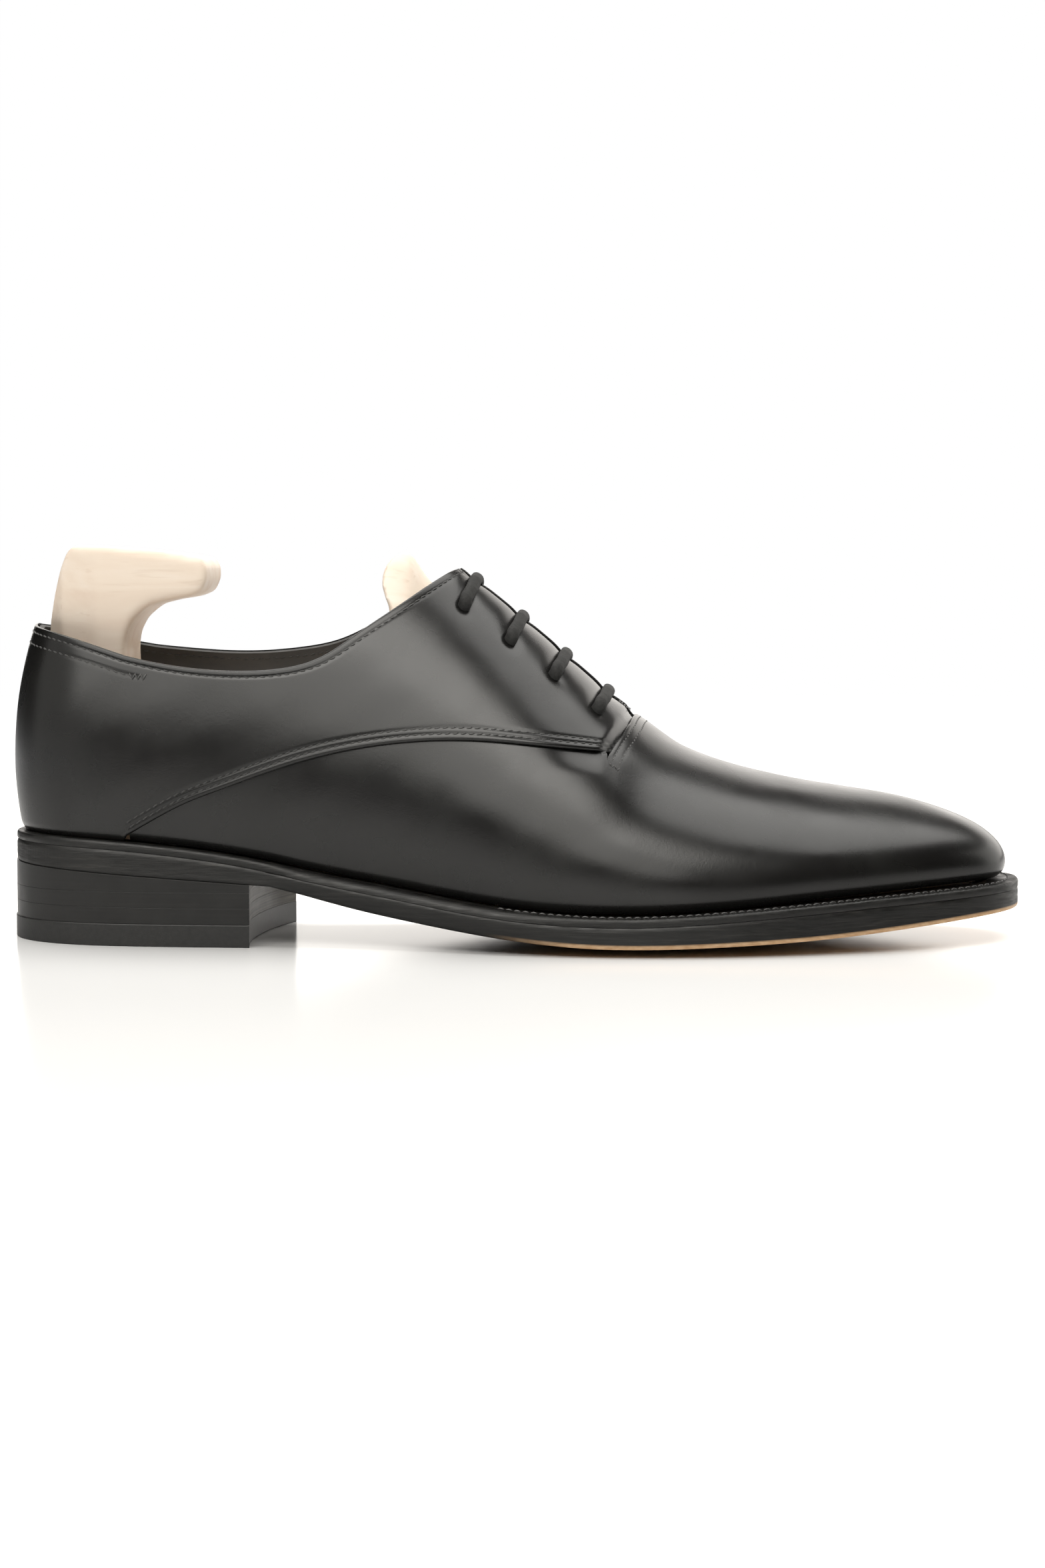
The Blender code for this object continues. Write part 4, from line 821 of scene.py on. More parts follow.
def make_vamp():
    before = even_stations(VAMP_START, VAMP_MOUTH_START, 1.1)
    mouth = np.linspace(VAMP_MOUTH_START, VAMP_MOUTH_END, 56)[1:-1]
    after = even_stations(VAMP_MOUTH_END, 1.0, 1.0)
    sides, at = both_sides(np.concatenate([before, mouth, after]))
    piece = sheet("vamp_leather", sides, at, 64, feather, vamp_top, vamp_depth, VAMP_THICK, CALF)
    return finish_piece(piece, "vamp", slot="box_calf")


def make_quarter(side):
    name = SIDE_NAMES[side]
    at = even_stations(QUARTER_START, QUARTER_END, 0.95)
    piece = sheet(
        f"quarter_{name}_leather", np.full(len(at), side), at, 84, seam_angle, topline_angle, quarter_depth,
        QUARTER_THICK, CALF,
    )
    return finish_piece(piece, f"quarter_{name}", slot="box_calf")


def lining_top(side, station):
    """The lining ends a little under the topline."""
    edge = topline_angle(side, station)
    return edge - 0.25 / mm_per_unit(side, station, edge)[1]


def quarter_lining_depth(side, station, angle):
    top = -edge_distance(side, station, angle, topline_angle)
    depth = COLLAR_LINING_DEPTH + (LINING_DEPTH - COLLAR_LINING_DEPTH) * smooth_step(top, 4, 20)
    return depth + rounded_edge(top, 0.4)


def make_linings():
    at = even_stations(0.0, LINING_END, 1.6)
    sides = np.concatenate([np.full(len(at), -1), np.full(len(at) - 1, 1)])
    at = np.concatenate([at[::-1], at[1:]])
    piece = sheet(
        "quarter_lining_leather", sides, at, 44, feather, lining_top, quarter_lining_depth,
        LINING_THICK, LINING,
    )
    finish_piece(piece, "quarter_lining", slot="lining_leather")

    def vamp_lining_top(side, station):
        return np.where(station < 0.63, angle_beside_spine(side, station, FACING_SLIT), HALF_TURN)

    sides, at = both_sides(even_stations(VAMP_LINING_START, 1.0, 2.0))
    piece = sheet(
        "vamp_lining_leather", sides, at, 30, feather, vamp_lining_top,
        lambda side, station, angle: np.full(np.shape(station), 3.6), 0.8, LINING,
    )
    finish_piece(piece, "vamp_lining", slot="lining_leather")


def make_tongue():
    at = np.linspace(TONGUE_START, TONGUE_END, 90)
    offset = np.linspace(-TONGUE_HALF_ANGLE, TONGUE_HALF_ANGLE, 41)
    station = np.repeat(at[:, None], len(offset), 1)
    aside = np.repeat(offset[None, :], len(at), 0)
    depth = TONGUE_DEPTH + (TONGUE_END_DEPTH - TONGUE_DEPTH) * smooth_step(station, 0.6, 0.65)
    edge = 17 * (TONGUE_HALF_ANGLE - np.abs(aside))
    depth = depth + rounded_edge(edge, 0.8) + rounded_edge((station - TONGUE_START) * STATION_MM, 0.8)
    side = np.where(aside < 0, -1, 1)
    place = under_surface(side, station, HALF_TURN - np.abs(aside), depth)
    finish_piece(thickened("tongue_leather", place, TONGUE_THICK, CALF), "tongue", slot="box_calf")


# ---------------------------------------------------------------- stitches
def stitch_shape(length, thick):
    """Points of one stitch along X, lying on the XY plane and half sunk at both ends."""
    steps, sides = 7, 6
    along = np.linspace(-0.5, 0.5, steps)
    width = thick / 2 * np.sqrt(np.maximum(1 - (np.abs(along) * 2)**4, 0.06))
    lift = thick * 0.42 * np.cos(along * math.pi) - thick * 0.16
    turn = np.linspace(0, 2 * math.pi, sides, endpoint=False)
    ring = np.stack([
        np.repeat(along[:, None] * length, sides, 1),
        width[:, None] * np.cos(turn)[None, :],
        lift[:, None] + width[:, None] * np.sin(turn)[None, :],
    ], -1)
    ends = np.array([[-length / 2, 0, lift[0]], [length / 2, 0, lift[-1]]])
    return np.vstack([ring.reshape(-1, 3), ends]), tube_faces(steps, sides)


class Stitches:
    """Gathers stitches and makes them one mesh."""

    def __init__(self):
        self.verts, self.faces, self.count = [], [], 0

    def add(self, centre, along, normal, length, thick=STITCH_THICK, slant=0.0):
        shape, faces = stitch_shape(length, thick)
        along = along - normal * np.dot(along, normal)
        along /= np.linalg.norm(along)
        across = np.cross(normal, along)
        turned = along * math.cos(slant) + across * math.sin(slant)
        aside = np.cross(normal, turned)
        self.verts.append(centre + shape @ np.stack([turned, aside, normal]))
        self.faces += [[corner + self.count for corner in face] for face in faces]
        self.count += len(shape)

    def row(self, line, normals, pitch=STITCH_PITCH, share=0.8, slant=0.16, thick=STITCH_THICK,
            sink=STITCH_SINK):
        """Stitches end to end along a line of points."""
        step = np.linalg.norm(np.diff(line, axis=0), axis=1)
        reach = np.concatenate([[0], np.cumsum(step)])
        count = max(1, int(reach[-1] / pitch))
        for middle in (np.arange(count) + 0.5) * reach[-1] / count:
            centre, normal = (np.array([np.interp(middle, reach, part[:, axis]) for axis in range(3)])
                              for part in (line, normals))
            k = int(np.clip(np.searchsorted(reach, middle), 1, len(line) - 1))
            along = line[k] - line[k - 1]
            normal = normal / np.linalg.norm(normal)
            wobble = RANDOM.normal(0, 0.03)
            self.add(centre - normal * sink, along, normal, pitch * share, thick, slant + wobble)

    def make(self, name, look=None):
        piece = add_mesh(name, np.vstack(self.verts), self.faces, look or THREAD, weld=0)
        return finish_piece(piece)


def surface_line(side, station, angle, depth):
    """Points and normals over the upper, where depth is a number or an array."""
    side = np.full(len(station), side)
    normal = last_normal(side, station, angle)
    return last_surface(side, station, angle) - normal * np.broadcast_to(depth, len(station))[:, None], normal


def bar_tack(stitches, side, station, angle, depth, along_station, count=6, length=2.4):
    """A short block of stitches across the end of a row."""
    for k in range(count):
        there = station + along_station * (k / (count - 1) - 0.5)
        point, normal = surface_line(side, np.array([there, there + 1e-4]), np.array([angle] * 2), depth)
        up = surface_line(side, np.array([there]), np.array([angle + 0.01]), depth)[0][0]
        stitches.add(point[0] - normal[0] * 0.02, up - point[0], normal[0], length, 0.42, 0.5 * (-1)**k)


def make_stitches():
    for side in SIDES:
        name = SIDE_NAMES[side]
        seams = Stitches()
        for distance in SEAM_ROWS:
            at = np.linspace(*SEAM_STITCHES, 500)
            station, angle = beside_edge(side, at, seam_angle, distance)
            seams.row(*surface_line(side, station, angle, QUARTER_DEPTH + 0.1))
        seams.make(f"side_seam_stitches_{name}")
        collar = Stitches()
        at = np.linspace(*COLLAR_STITCHES, 600)
        station, angle = beside_edge(side, at, topline_angle, -TOPLINE_ROW)
        keep = station < COLLAR_STITCH_LIMIT
        collar.row(*surface_line(side, station[keep], angle[keep], QUARTER_DEPTH + 0.1), slant=-0.16)
        at = np.linspace(COLLAR_STITCHES[0], HEEL_BAND_END, 120)
        station, angle = beside_edge(side, at, topline_angle, -HEEL_BAND_ROW)
        collar.row(*surface_line(side, station, angle, QUARTER_DEPTH + 0.1), slant=-0.16)
        bar_tack(collar, side, station[-1] + 0.003, angle[-1], QUARTER_DEPTH, 0.012)
        collar.make(f"collar_stitches_{name}")
        throat = Stitches()
        angle = np.linspace(THROAT[0][1] + 0.01, HALF_TURN - 0.02, 160)
        for distance in THROAT_ROWS:
            station = throat_station(angle) + distance / STATION_MM * 1.08
            throat.row(*surface_line(side, station, angle, VAMP_MOUTH_DEPTH + 0.1), pitch=1.9)
        low = throat_station(THROAT[0][1]) + 0.007
        bar_tack(throat, side, low, THROAT[0][1] - 0.015, VAMP_MOUTH_DEPTH + 0.1, 0.007, 4, 1.4)
        throat.make(f"throat_stitches_{name}")
        inside = Stitches()
        at = np.linspace(*LINING_STITCHES, 500)
        station, angle = beside_edge(side, at, topline_angle, -2.2)
        line, normal = surface_line(side, station, angle, COLLAR_LINING_DEPTH + LINING_THICK - 0.05)
        inside.row(line, -normal, sink=0.05)
        inside.make(f"lining_stitches_{name}")
    slit = Stitches()
    for side in SIDES:
        station = np.array(SLIT_STITCHES)
        angle = angle_beside_spine(side, station, FACING_SLIT + 0.4)
        for k in range(5):
            point, normal = surface_line(side, station + k * 0.0022, angle, QUARTER_DEPTH)
            centre, across = point[0] - normal[0] * 0.1, np.array([0.0, 1, 0.05])
            slit.add(centre, across, normal[0], 2.0, 0.45, 0.25 * (-1)**k)
    slit.make("slit_end_stitches")


# ---------------------------------------------------------------- lace
def eyelet_frame(side, station):
    return Vector(last_surface(side, station, EYELET_ANGLE)), Vector(last_normal(side, station, EYELET_ANGLE))


def beside(side, station, across, depth):
    """A point beside an eyelet: across is the way towards the spine along the leather, mm."""
    point, normal = eyelet_frame(side, station)
    towards = Vector(last_surface(side, station, EYELET_ANGLE + 0.01)) - point
    towards = (towards - normal * towards.dot(normal)).normalized()
    return point + towards * across - normal * depth


def through_eyelet(side, station, leaving):
    """The lace from below the facing up through an eyelet and over towards the spine."""
    corner = LACE_BEND * (1 - math.sqrt(0.5))
    places = (
        (leaving * (LACE_BEND + 0.2), LACE_UNDER), (leaving * corner, LACE_UNDER - corner),
        (0, EYELET_END - 0.4), (0, LACE_OVER + LACE_BEND + 0.2), (corner, LACE_OVER + corner),
        (LACE_BEND + 0.2, LACE_OVER),
    )
    return [beside(side, station, across, depth) for across, depth in places]


def over_instep(ahead, depth):
    """Points across the instep to the medial side, leaning towards the toe; depth is one number or five."""
    places = ((-1, 1.25, 0.5), (-1, 1.41, 0.85), (-1, HALF_TURN, 1), (1, 1.41, 0.85), (1, 1.25, 0.5))
    ahead, deep = np.broadcast_to(ahead, len(places)), np.broadcast_to(depth, len(places))
    return [
        Vector(under_surface(side, at + LACE_LEAN * lean, angle, down))
        for (side, angle, lean), at, down in zip(places, ahead, deep)
    ]


def lace_route():
    """Straight bars over the eyelets, drawn down on the leather, and slanting runs below the facings."""
    pairs = EYELET_STATIONS[::-1]
    route = [Vector(under_surface(-1, station, angle, LACE_UNDER)) for station, angle in LACE_START]
    for number, station in enumerate(pairs):
        route += through_eyelet(-1, station, -1 if number == 0 else 1)
        route += over_instep(station, LACE_PULLED)
        last = number == len(pairs) - 1
        route += through_eyelet(1, station, -1 if last else 1)[::-1]
        if not last:
            ahead = station + (pairs[number + 1] - station) * np.array([0.8, 0.65, 0.5, 0.35, 0.2])
            route += over_instep(ahead, LACE_UNDER)[::-1]
    return route + [Vector(under_surface(1, station, angle, LACE_UNDER)) for station, angle in LACE_END]


def smoothed_route(points, spacing):
    """Evenly spaced points of the rounded route."""
    corner = np.array([tuple(point) for point in points])
    chord = np.concatenate([[0], np.cumsum(np.linalg.norm(np.diff(corner, axis=0), axis=1))])
    fine = np.linspace(0, chord[-1], int(chord[-1] / spacing))
    line = np.stack([np.interp(fine, chord, corner[:, axis]) for axis in range(3)], 1)
    for _ in range(int(0.5 / spacing**2)):
        line[1:-1] = line[1:-1] * 0.5 + (line[:-2] + line[2:]) * 0.25
    return line


def swept(name, line, radius, look, sides, pattern):
    """A tube along points, flattened against the instep; pattern(reach, turn) makes its radius uneven."""
    along = np.gradient(line, axis=0)
    along /= np.linalg.norm(along, axis=1)[:, None]
    frames = [np.cross(along[0], [0.0, 0, 1])]
    for direction in along[1:]:
        kept = frames[-1] - direction * np.dot(frames[-1], direction)
        frames.append(kept / np.linalg.norm(kept))
    one = np.array(frames)
    one[0] /= np.linalg.norm(one[0])
    other = np.cross(along, one)
    reach = np.concatenate([[0], np.cumsum(np.linalg.norm(np.diff(line, axis=0), axis=1))])
    turn = np.linspace(0, 2 * math.pi, sides, endpoint=False)
    size = radius + pattern(reach[:, None], turn[None, :])
    ring = size[..., None] * (
        one[:, None] * np.cos(turn)[None, :, None] + other[:, None] * np.sin(turn)[None, :, None]
    )
    slant = slope(spine_height, line[:, 0], 1.0)
    lengthwise = np.column_stack([np.ones(len(line)), np.zeros(len(line)), slant])
    upward = np.cross(along, lengthwise)
    upward /= np.linalg.norm(upward, axis=1)[:, None]
    aside = np.cross(along, upward)
    for direction, share in ((upward, LACE_FLAT), (aside, LACE_WIDE)):
        ring = ring + (ring @ direction[..., None]) * direction[:, None] * (share - 1)
    ring = ring + line[:, None]
    verts = np.vstack([ring.reshape(-1, 3), line[:1], line[-1:]])
    return add_mesh(name, verts, tube_faces(len(line), sides), look, weld=0, sharp=80)


def braid(reach, turn):
    """Strands that cross each other round the lace."""
    one = np.cos(5 * turn + reach * 2.6)
    other = np.cos(5 * turn - reach * 2.6)
    return 0.13 * np.maximum(np.abs(one), np.abs(other)) - 0.1


def make_lace():
    line = smoothed_route(lace_route(), LACE_SPACING)
    lace = swept("lace_cotton", line, LACE_RADIUS, LACE, LACE_ROUND, braid)
    return finish_piece(lace, "lace", slot="waxed_cotton")


# ---------------------------------------------------------------- bottom
def ring_stations(spacing):
    """Sides and stations once round the shoe, without the last point that would meet the first."""
    one = even_stations(0.0, 1.0, spacing)
    sides = np.concatenate([np.full(len(one), -1), np.full(len(one) - 2, 1)])
    return sides, np.concatenate([one, one[-2:0:-1]])


def outward(plan, side, station):
    """Plan points and unit directions square to the plan curve."""
    point = plan.at(side, station)
    ahead, behind = plan.at(side, station + 1e-3), plan.at(side, station - 1e-3)
    along = (ahead - behind) * -side[..., None]
    along /= np.linalg.norm(along, axis=-1)[..., None]
    return point, np.stack([along[..., 1], -along[..., 0]], -1)


def run_length(point):
    """Distance along a closed row of plan points."""
    step = np.linalg.norm(np.roll(point, -1, 0) - point, axis=1)
    return np.concatenate([[0], np.cumsum(step)[:-1]]), step.sum()


def sole_low(x, part):
    """The sole's underside: one slope over the heel, and bowed down across the forepart."""
    (back, back_height), (front, front_height) = SOLE_EDGE[:2]
    heel = back_height + (front_height - back_height) * (x - back) / (front - back)
    return np.where(x < front, heel, forepart_edge(x) - sole_crown(x) * (1 - part**2.5))


def waist(x):
    """1 in the waist, where the edge is bevelled and polished, 0 elsewhere."""
    return smooth_step(x, -72, -58) * (1 - smooth_step(x, -4, 26))


def make_welt():
    """The welt and the rand as one ledge round the shoe, notched on top in the forepart."""
    sides, at = ring_stations(SOLE_SPACING)
    point, out = outward(SOLE_PLAN, sides, at)
    reach, total = run_length(point)
    x = point[:, 0]
    high = feather_height(FEATHER_PLAN.at(sides, at)[:, 0]) - FEATHER_DROP
    low = high - WELT_THICK
    fore = smooth_step(x, -20, 20)
    bevel = waist(x)
    profile = []
    tooth = np.cos(2 * math.pi * reach / (total / round(total / WELT_TOOTH)))
    notch = 0.24 * smooth_step(tooth, 0.0, 0.9) * fore
    for inset, drop, notched in (
        (WELT_IN, 0.3, 0), (5.0, 0.25, 0), (3.9, 0.12, 0), (3.2, 0.1, 0.2), (2.6, 0.1, 1), (1.9, 0.1, 1),
        (1.2, 0.12, 1), (0.75, 0.16, 0.9), (0.38, 0.3, 0.5), (0.12, 0.6, 0.2), (0.0, 1.0, 0), (0.0, 1.6, 0),
        (0.0, 2.25, 0), (0.22, 2.62, 0), (1.0, 2.68, 0), (WELT_IN, 2.68, 0),
    ):
        inset_here = inset + bevel * 0.9 * np.exp(-drop / 0.7) * (inset < 2)
        flat = point - out * np.broadcast_to(inset_here, len(x))[:, None]
        height = high - drop - notch * notched - bevel * 0.55 * (inset < 2) * np.exp(-inset)
        profile.append(np.column_stack([flat, np.maximum(height, low)]))
    verts = np.stack(profile, 1)
    faces = grid_faces(len(point), len(profile), True, True)
    piece = add_mesh("welt_leather", verts.reshape(-1, 3), faces, EDGE)
    finish_piece(piece, "welt", "heel_rand", slot="sole_leather")

    keep = fore > 0.35
    start = int(np.argmax(~keep))
    order = np.roll(np.arange(len(x)), -start)
    order = order[np.roll(keep, -start)]
    line = np.column_stack([point - out * WELT_STITCH_IN, high - 0.1])[order]
    gap = np.linalg.norm(np.diff(line, axis=0), axis=1)
    if gap.max() > 3:
        line = np.roll(line, -int(np.argmax(gap)) - 1, 0)
    seam = Stitches()
    normals = np.tile([0.0, 0, 1], (len(line), 1))
    seam.row(line, normals, pitch=2.5, share=0.86, slant=0.05, thick=0.6, sink=0.05)
    seam.make("welt_stitches")


def make_outsole():
    """The outsole: burnished edge, ribbed round the heel seat, natural leather under the forepart."""
    sides, at = ring_stations(SOLE_SPACING)
    point, out = outward(SOLE_PLAN, sides, at)
    reach, total = run_length(point)
    x = point[:, 0]
    high = feather_height(FEATHER_PLAN.at(sides, at)[:, 0]) - FEATHER_DROP - WELT_THICK - 0.02
    low = sole_low(x, np.ones(len(x)))
    bevel = waist(x)
    seat = 1 - smooth_step(x, -82, -74)
    fore = smooth_step(x, -8, 25)
    rib = 0.07 * np.cos(2 * math.pi * reach / (total / round(total / SEAT_RIB))) * seat
    centre = spine_point(at)
    rows, tans = [], []
    depth_there = high - low
    for part in (0.06, 0.35, 0.62, 0.82, 0.93):
        flat = centre + (point - centre) * part
        rows.append(np.column_stack([flat, sole_low(flat[:, 0], np.full(len(x), part))]))
        tans.append(fore)
    for rise, inset, tan in (
        (0.0, 0.55, 1), (0.0, 0.25, 1), (0.06, 0.06, 1), (0.13, 0.0, 0.95), (0.19, 0.0, 0.5), (0.23, 0.02, 0),
        (0.4, 0.03, 0), (0.55, 0.05, 0), (0.7, 0.04, 0), (0.82, 0.03, 0), (0.92, 0.12, 0), (1.0, 0.4, 0),
    ):
        lift = np.where(rise < 0.25, rise * np.minimum(depth_there, 6.0), rise * depth_there)
        rounding = bevel * 1.7 * (1 - np.sqrt(np.maximum(1 - (1 - rise)**2.2, 0)))
        crown = sole_low(x, np.ones(len(x)))
        ribs = rib * smooth_step(rise, 0.25, 0.4) * (1 - smooth_step(rise, 0.8, 0.95))
        flat = point - out * (inset + rounding - ribs)[:, None]
        rows.append(np.column_stack([flat, crown + lift]))
        tans.append(tan * fore)
    rows.append(np.column_stack([centre + (point - centre) * 0.5, high]))
    tans.append(np.zeros(len(x)))
    rows.append(np.column_stack([centre + (point - centre) * 0.06, high]))
    tans.append(np.zeros(len(x)))
    verts = np.stack(rows, 1)
    tan = np.stack([np.broadcast_to(value, len(x)) for value in tans], 1)
    columns, count = len(x), len(rows)
    faces = [list(face) for face in grid_faces(columns, count, True, False)]
    faces += strip_across(sides, count, 0) + strip_across(sides, count, count - 1)
    piece = add_mesh("outsole_leather", verts.reshape(-1, 3), faces, EDGE, tan=tan.reshape(-1))
    finish_piece(piece, "outsole", slot="sole_leather")


def strip_across(sides, rows, row):
    """Quads from each lateral column to the medial one at the same station, for one row of a ring."""
    lateral = [i for i in range(len(sides)) if sides[i] < 0]
    count = len(sides)
    faces = []
    for one, other in zip(lateral, lateral[1:]):
        far_one, far_other = (count - one) % count, (count - other) % count
        corners = []
        for column in (one, other, far_other, far_one):
            if column not in corners:
                corners.append(column)
        if len(corners) > 2:
            faces.append([column * rows + row for column in corners])
    return faces


def breast_line(plan, count):
    """Plan points of the heel's hollow front face, from the medial to the lateral corner."""
    lateral = plan.at(-1, station_at(BREAST_LATERAL_X))
    medial = plan.at(1, station_at(BREAST_MEDIAL_X))
    part = np.linspace(0, 1, count + 1)[1:-1, None]
    line = medial + (lateral - medial) * part
    line[:, 0] -= BREAST_HOLLOW * 4 * (part * (1 - part))[:, 0]
    return line


def heel_layer(name, node, out, low, high, look, slot, rounding):
    """One layer of the heel, with softly rounded rims; low and high are heights by (x)."""
    plan = Plan(moved_in(SOLE_LOOP, -out))
    side = even_stations(0.0, station_at(BREAST_LATERAL_X), 0.9)
    lateral = plan.at(np.full(len(side), -1), side)[::-1]
    side = even_stations(0.0, station_at(BREAST_MEDIAL_X), 0.9)[1:]
    medial = plan.at(np.full(len(side), 1), side)
    outline = np.vstack([lateral, medial, breast_line(plan, 60)])
    front = np.zeros(len(outline))
    front[len(lateral) + len(medial):] = 1
    along = np.roll(outline, -1, 0) - np.roll(outline, 1, 0)
    along /= np.linalg.norm(along, axis=1)[:, None]
    inward = np.stack([along[:, 1], -along[:, 0]], 1)
    centre = outline.mean(0)
    if np.sum((centre - outline) * inward) < 0:
        inward = -inward
    rows = []
    profile = (
        (low, 0.0, 1, 0), (low, 0.5, 1, 0), (low, 0.97, 1, 0), (low, 1, 1, 0), (low, 1, 0, 1), (low, 1, 0, 3),
        (high, 1, 0, -3), (high, 1, 0, -1), (high, 1, 1, 0), (high, 0.97, 1, 0), (high, 0.5, 1, 0),
        (high, 0.0, 1, 0),
    )
    for height, share, inset, lift in profile:
        flat = centre + (outline + inward * inset * rounding - centre) * share
        rows.append(np.column_stack([flat, height(flat[:, 0]) + lift * rounding]))
    verts = np.stack(rows, 1)
    tan = np.repeat(front[:, None], len(rows), 1).reshape(-1)
    piece = add_mesh(name, verts.reshape(-1, 3), grid_faces(len(outline), len(rows), True), look, tan=tan)
    return finish_piece(piece, node, slot=slot)


def make_heel():
    def flat(height):
        return lambda x: np.full(np.shape(x), float(height))

    def seat(x):
        return sole_low(x, np.ones(np.shape(x))) - 0.03

    top_piece = flat(TOP_PIECE_THICK)
    layers = [("top_piece_rubber", "heel_top_piece", TOP_PIECE_OUT, 0, top_piece, RUBBER, "rubber", 0.12)]
    low = TOP_PIECE_THICK + 0.03
    for number, top in zip((3, 2, 1), (*LIFT_TOPS, None)):
        node = f"heel_lift_{number}"
        high = seat if top is None else flat(top)
        layers.append((f"{node}_leather", node, LIFT_OUT, low, high, HEEL, "sole_leather", 0.03))
        low = (top or 0) + 0.03
    for name, node, out, low, high, look, slot, rounding in layers:
        heel_layer(name, node, out, flat(low), high, look, slot, rounding)


# ---------------------------------------------------------------- shoe tree
def tree_depth(station, angle):
    """Close to the lining, deeper under the tongue and the lace, and short of the toe."""
    instep = smooth_step(station, 0.412, 0.47) * (1 - smooth_step(station, 0.64, 0.675))
    lace = smooth_step(angle, 0.4, 0.62) * instep * (TREE_LACE_DEPTH - TREE_DEPTH)
    peak = 1.7 * smooth_step(angle, 1.0, 1.3) * (1 - smooth_step(station, 0.415, 0.435))
    return TREE_DEPTH - peak + lace + 3.5 * smooth_step(station, 0.86, 1)


def tree_floor(x):
    return feather_height(x) + INSOLE_THICK + SOCK_THICK + 4 * GAP


def remeshed(piece, voxel, rounds):
    """The piece rebuilt from small cubes and smoothed, which rounds all its edges like sanding."""
    cubes = piece.modifiers.new("cubes", "REMESH")
    cubes.mode = "VOXEL"
    cubes.voxel_size = voxel * MM
    soft = piece.modifiers.new("sanded", "SMOOTH")
    soft.factor = 0.5
    soft.iterations = rounds
    apply_modifiers(piece)
    piece.data.shade_smooth()
    return piece


def cut(piece, cutter, operation="DIFFERENCE"):
    boolean = piece.modifiers.new(cutter.name, "BOOLEAN")
    boolean.object = cutter
    boolean.operation = operation
    boolean.solver = "EXACT"
    apply_modifiers(piece)
    bpy.data.objects.remove(cutter, do_unlink=True)


def prism(name, outline, low, high, look, body="shoe"):
    """An upright solid on a plan."""
    outline = np.array(outline, float)
    count = len(outline)
    verts = np.vstack([np.column_stack([outline, height(outline[:, 0])]) for height in (low, high)])
    faces = [[k, (k + 1) % count, count + (k + 1) % count, count + k] for k in range(count)]
    faces += [list(range(count))[::-1], list(range(count, 2 * count))]
    return add_mesh(name, verts, faces, look, body, weld=0)


def across_prism(name, outline, half):
    """A solid on an (x, z) outline, lying along Y about the tree's middle."""
    outline = np.array(outline, float)
    count = len(outline)
    verts = np.vstack([
        np.column_stack([outline[:, 0], np.full(count, TREE_Y + aside), outline[:, 1]])
        for aside in (-half, half)
    ])
    faces = [[k, (k + 1) % count, count + (k + 1) % count, count + k] for k in range(count)]
    faces += [list(range(count)), list(range(count, 2 * count))[::-1]]
    return add_mesh(name, verts, faces, BEECH, "tree_heel", weld=0)


def knuckle_room(name):
    """A bar round the hinge, to cut room for its knuckles."""
    bm = bmesh.new()
    bmesh.ops.create_cone(
        bm, cap_ends=True, segments=32, radius1=KNUCKLE_ROOM * MM, radius2=KNUCKLE_ROOM * MM,
        depth=(HINGE_WIDTH + 3) * MM,
    )
    mesh = bpy.data.meshes.new(name)
    bm.to_mesh(mesh)
    bm.free()
    bar = bpy.data.objects.new(name, mesh)
    bar.location = Vector((HINGE_X, TREE_Y, HINGE_Z)) * MM
    bar.rotation_euler = (HALF_TURN, 0, 0)
    bpy.context.scene.collection.objects.link(bar)
    return bar


def make_tree_forepart():
    sides, at = both_sides(even_stations(station_at(FOREPART_BACK - 6), 1.0, 1.8))
    rows = 34
    foot = FEATHER_PLAN.at(sides, at)
    low = angle_at_height(sides, at, tree_floor(foot[:, 0]))
    part = np.concatenate([[0], np.linspace(0, 1, rows - 1)])
    angle = low[:, None] + (HALF_TURN - low)[:, None] * part[None, :]
    side = np.repeat(sides[:, None], rows, 1)
    station = np.repeat(at[:, None], rows, 1)
    place = under_surface(side, station, angle, tree_depth(station, angle))
    place[:, 0, :2] = spine_point(at)
    floor = tree_floor(place[..., 0])
    place[..., 2] = np.maximum(place[..., 2], floor)
    place[:, :2, 2] = floor[:, :2]
    piece = add_mesh("tree_forepart_beech", place.reshape(-1, 3), grid_faces(len(at), rows), BEECH)
    bm = bmesh.new()
    bm.from_mesh(piece.data)
    bmesh.ops.holes_fill(bm, edges=[edge for edge in bm.edges if edge.is_boundary])
    bmesh.ops.recalc_face_normals(bm, faces=bm.faces)
    bm.to_mesh(piece.data)
    bm.free()
    cut(piece, knuckle_room("forepart_room"))
    cut(piece, across_prism("forepart_back", FOREPART_END, 70))
    remeshed(piece, 1.0, 14)
    return finish_piece(piece, "tree_forepart", slot="beech")


def make_tree_heel_block():
    side = HINGE_WIDTH / 2 + 1.5
    plan = np.array([(BLOCK_FRONT, -side), *BLOCK_PLAN, (BLOCK_FRONT, side)])
    plan[:, 1] += TREE_Y
    top = through(BLOCK_TOP)
    fine = loop_of(plan, 6)
    block = prism("tree_heel_beech", fine, lambda x: tree_floor(x) + 0.3, top, BEECH, "tree_heel")
    block = finish_faces(block)
    handle = across_prism("handle", HANDLE_OUTLINE, HANDLE_HALF_WIDTH)
    plan = np.array(HANDLE_PLAN)
    plan[:, 1] += TREE_Y
    limits = prism("handle_plan", loop_of(plan, 1), lambda x: 0 * x + 40, lambda x: 0 * x + 125, BEECH)
    cut(handle, limits, "INTERSECT")
    remeshed(handle, 0.7, 26)
    cut(block, knuckle_room("block_room"))
    remeshed(block, 1.0, 10)
    cut(block, handle, "UNION")
    block.data.shade_smooth()
    return finish_piece(block, "tree_heel_block", slot="beech")


def finish_faces(piece):
    """The piece's top and bottom split into triangles, so that a sloped top is followed."""
    bm = bmesh.new()
    bm.from_mesh(piece.data)
    bmesh.ops.triangulate(bm, faces=[face for face in bm.faces if len(face.verts) > 4])
    bm.to_mesh(piece.data)
    bm.free()
    return piece


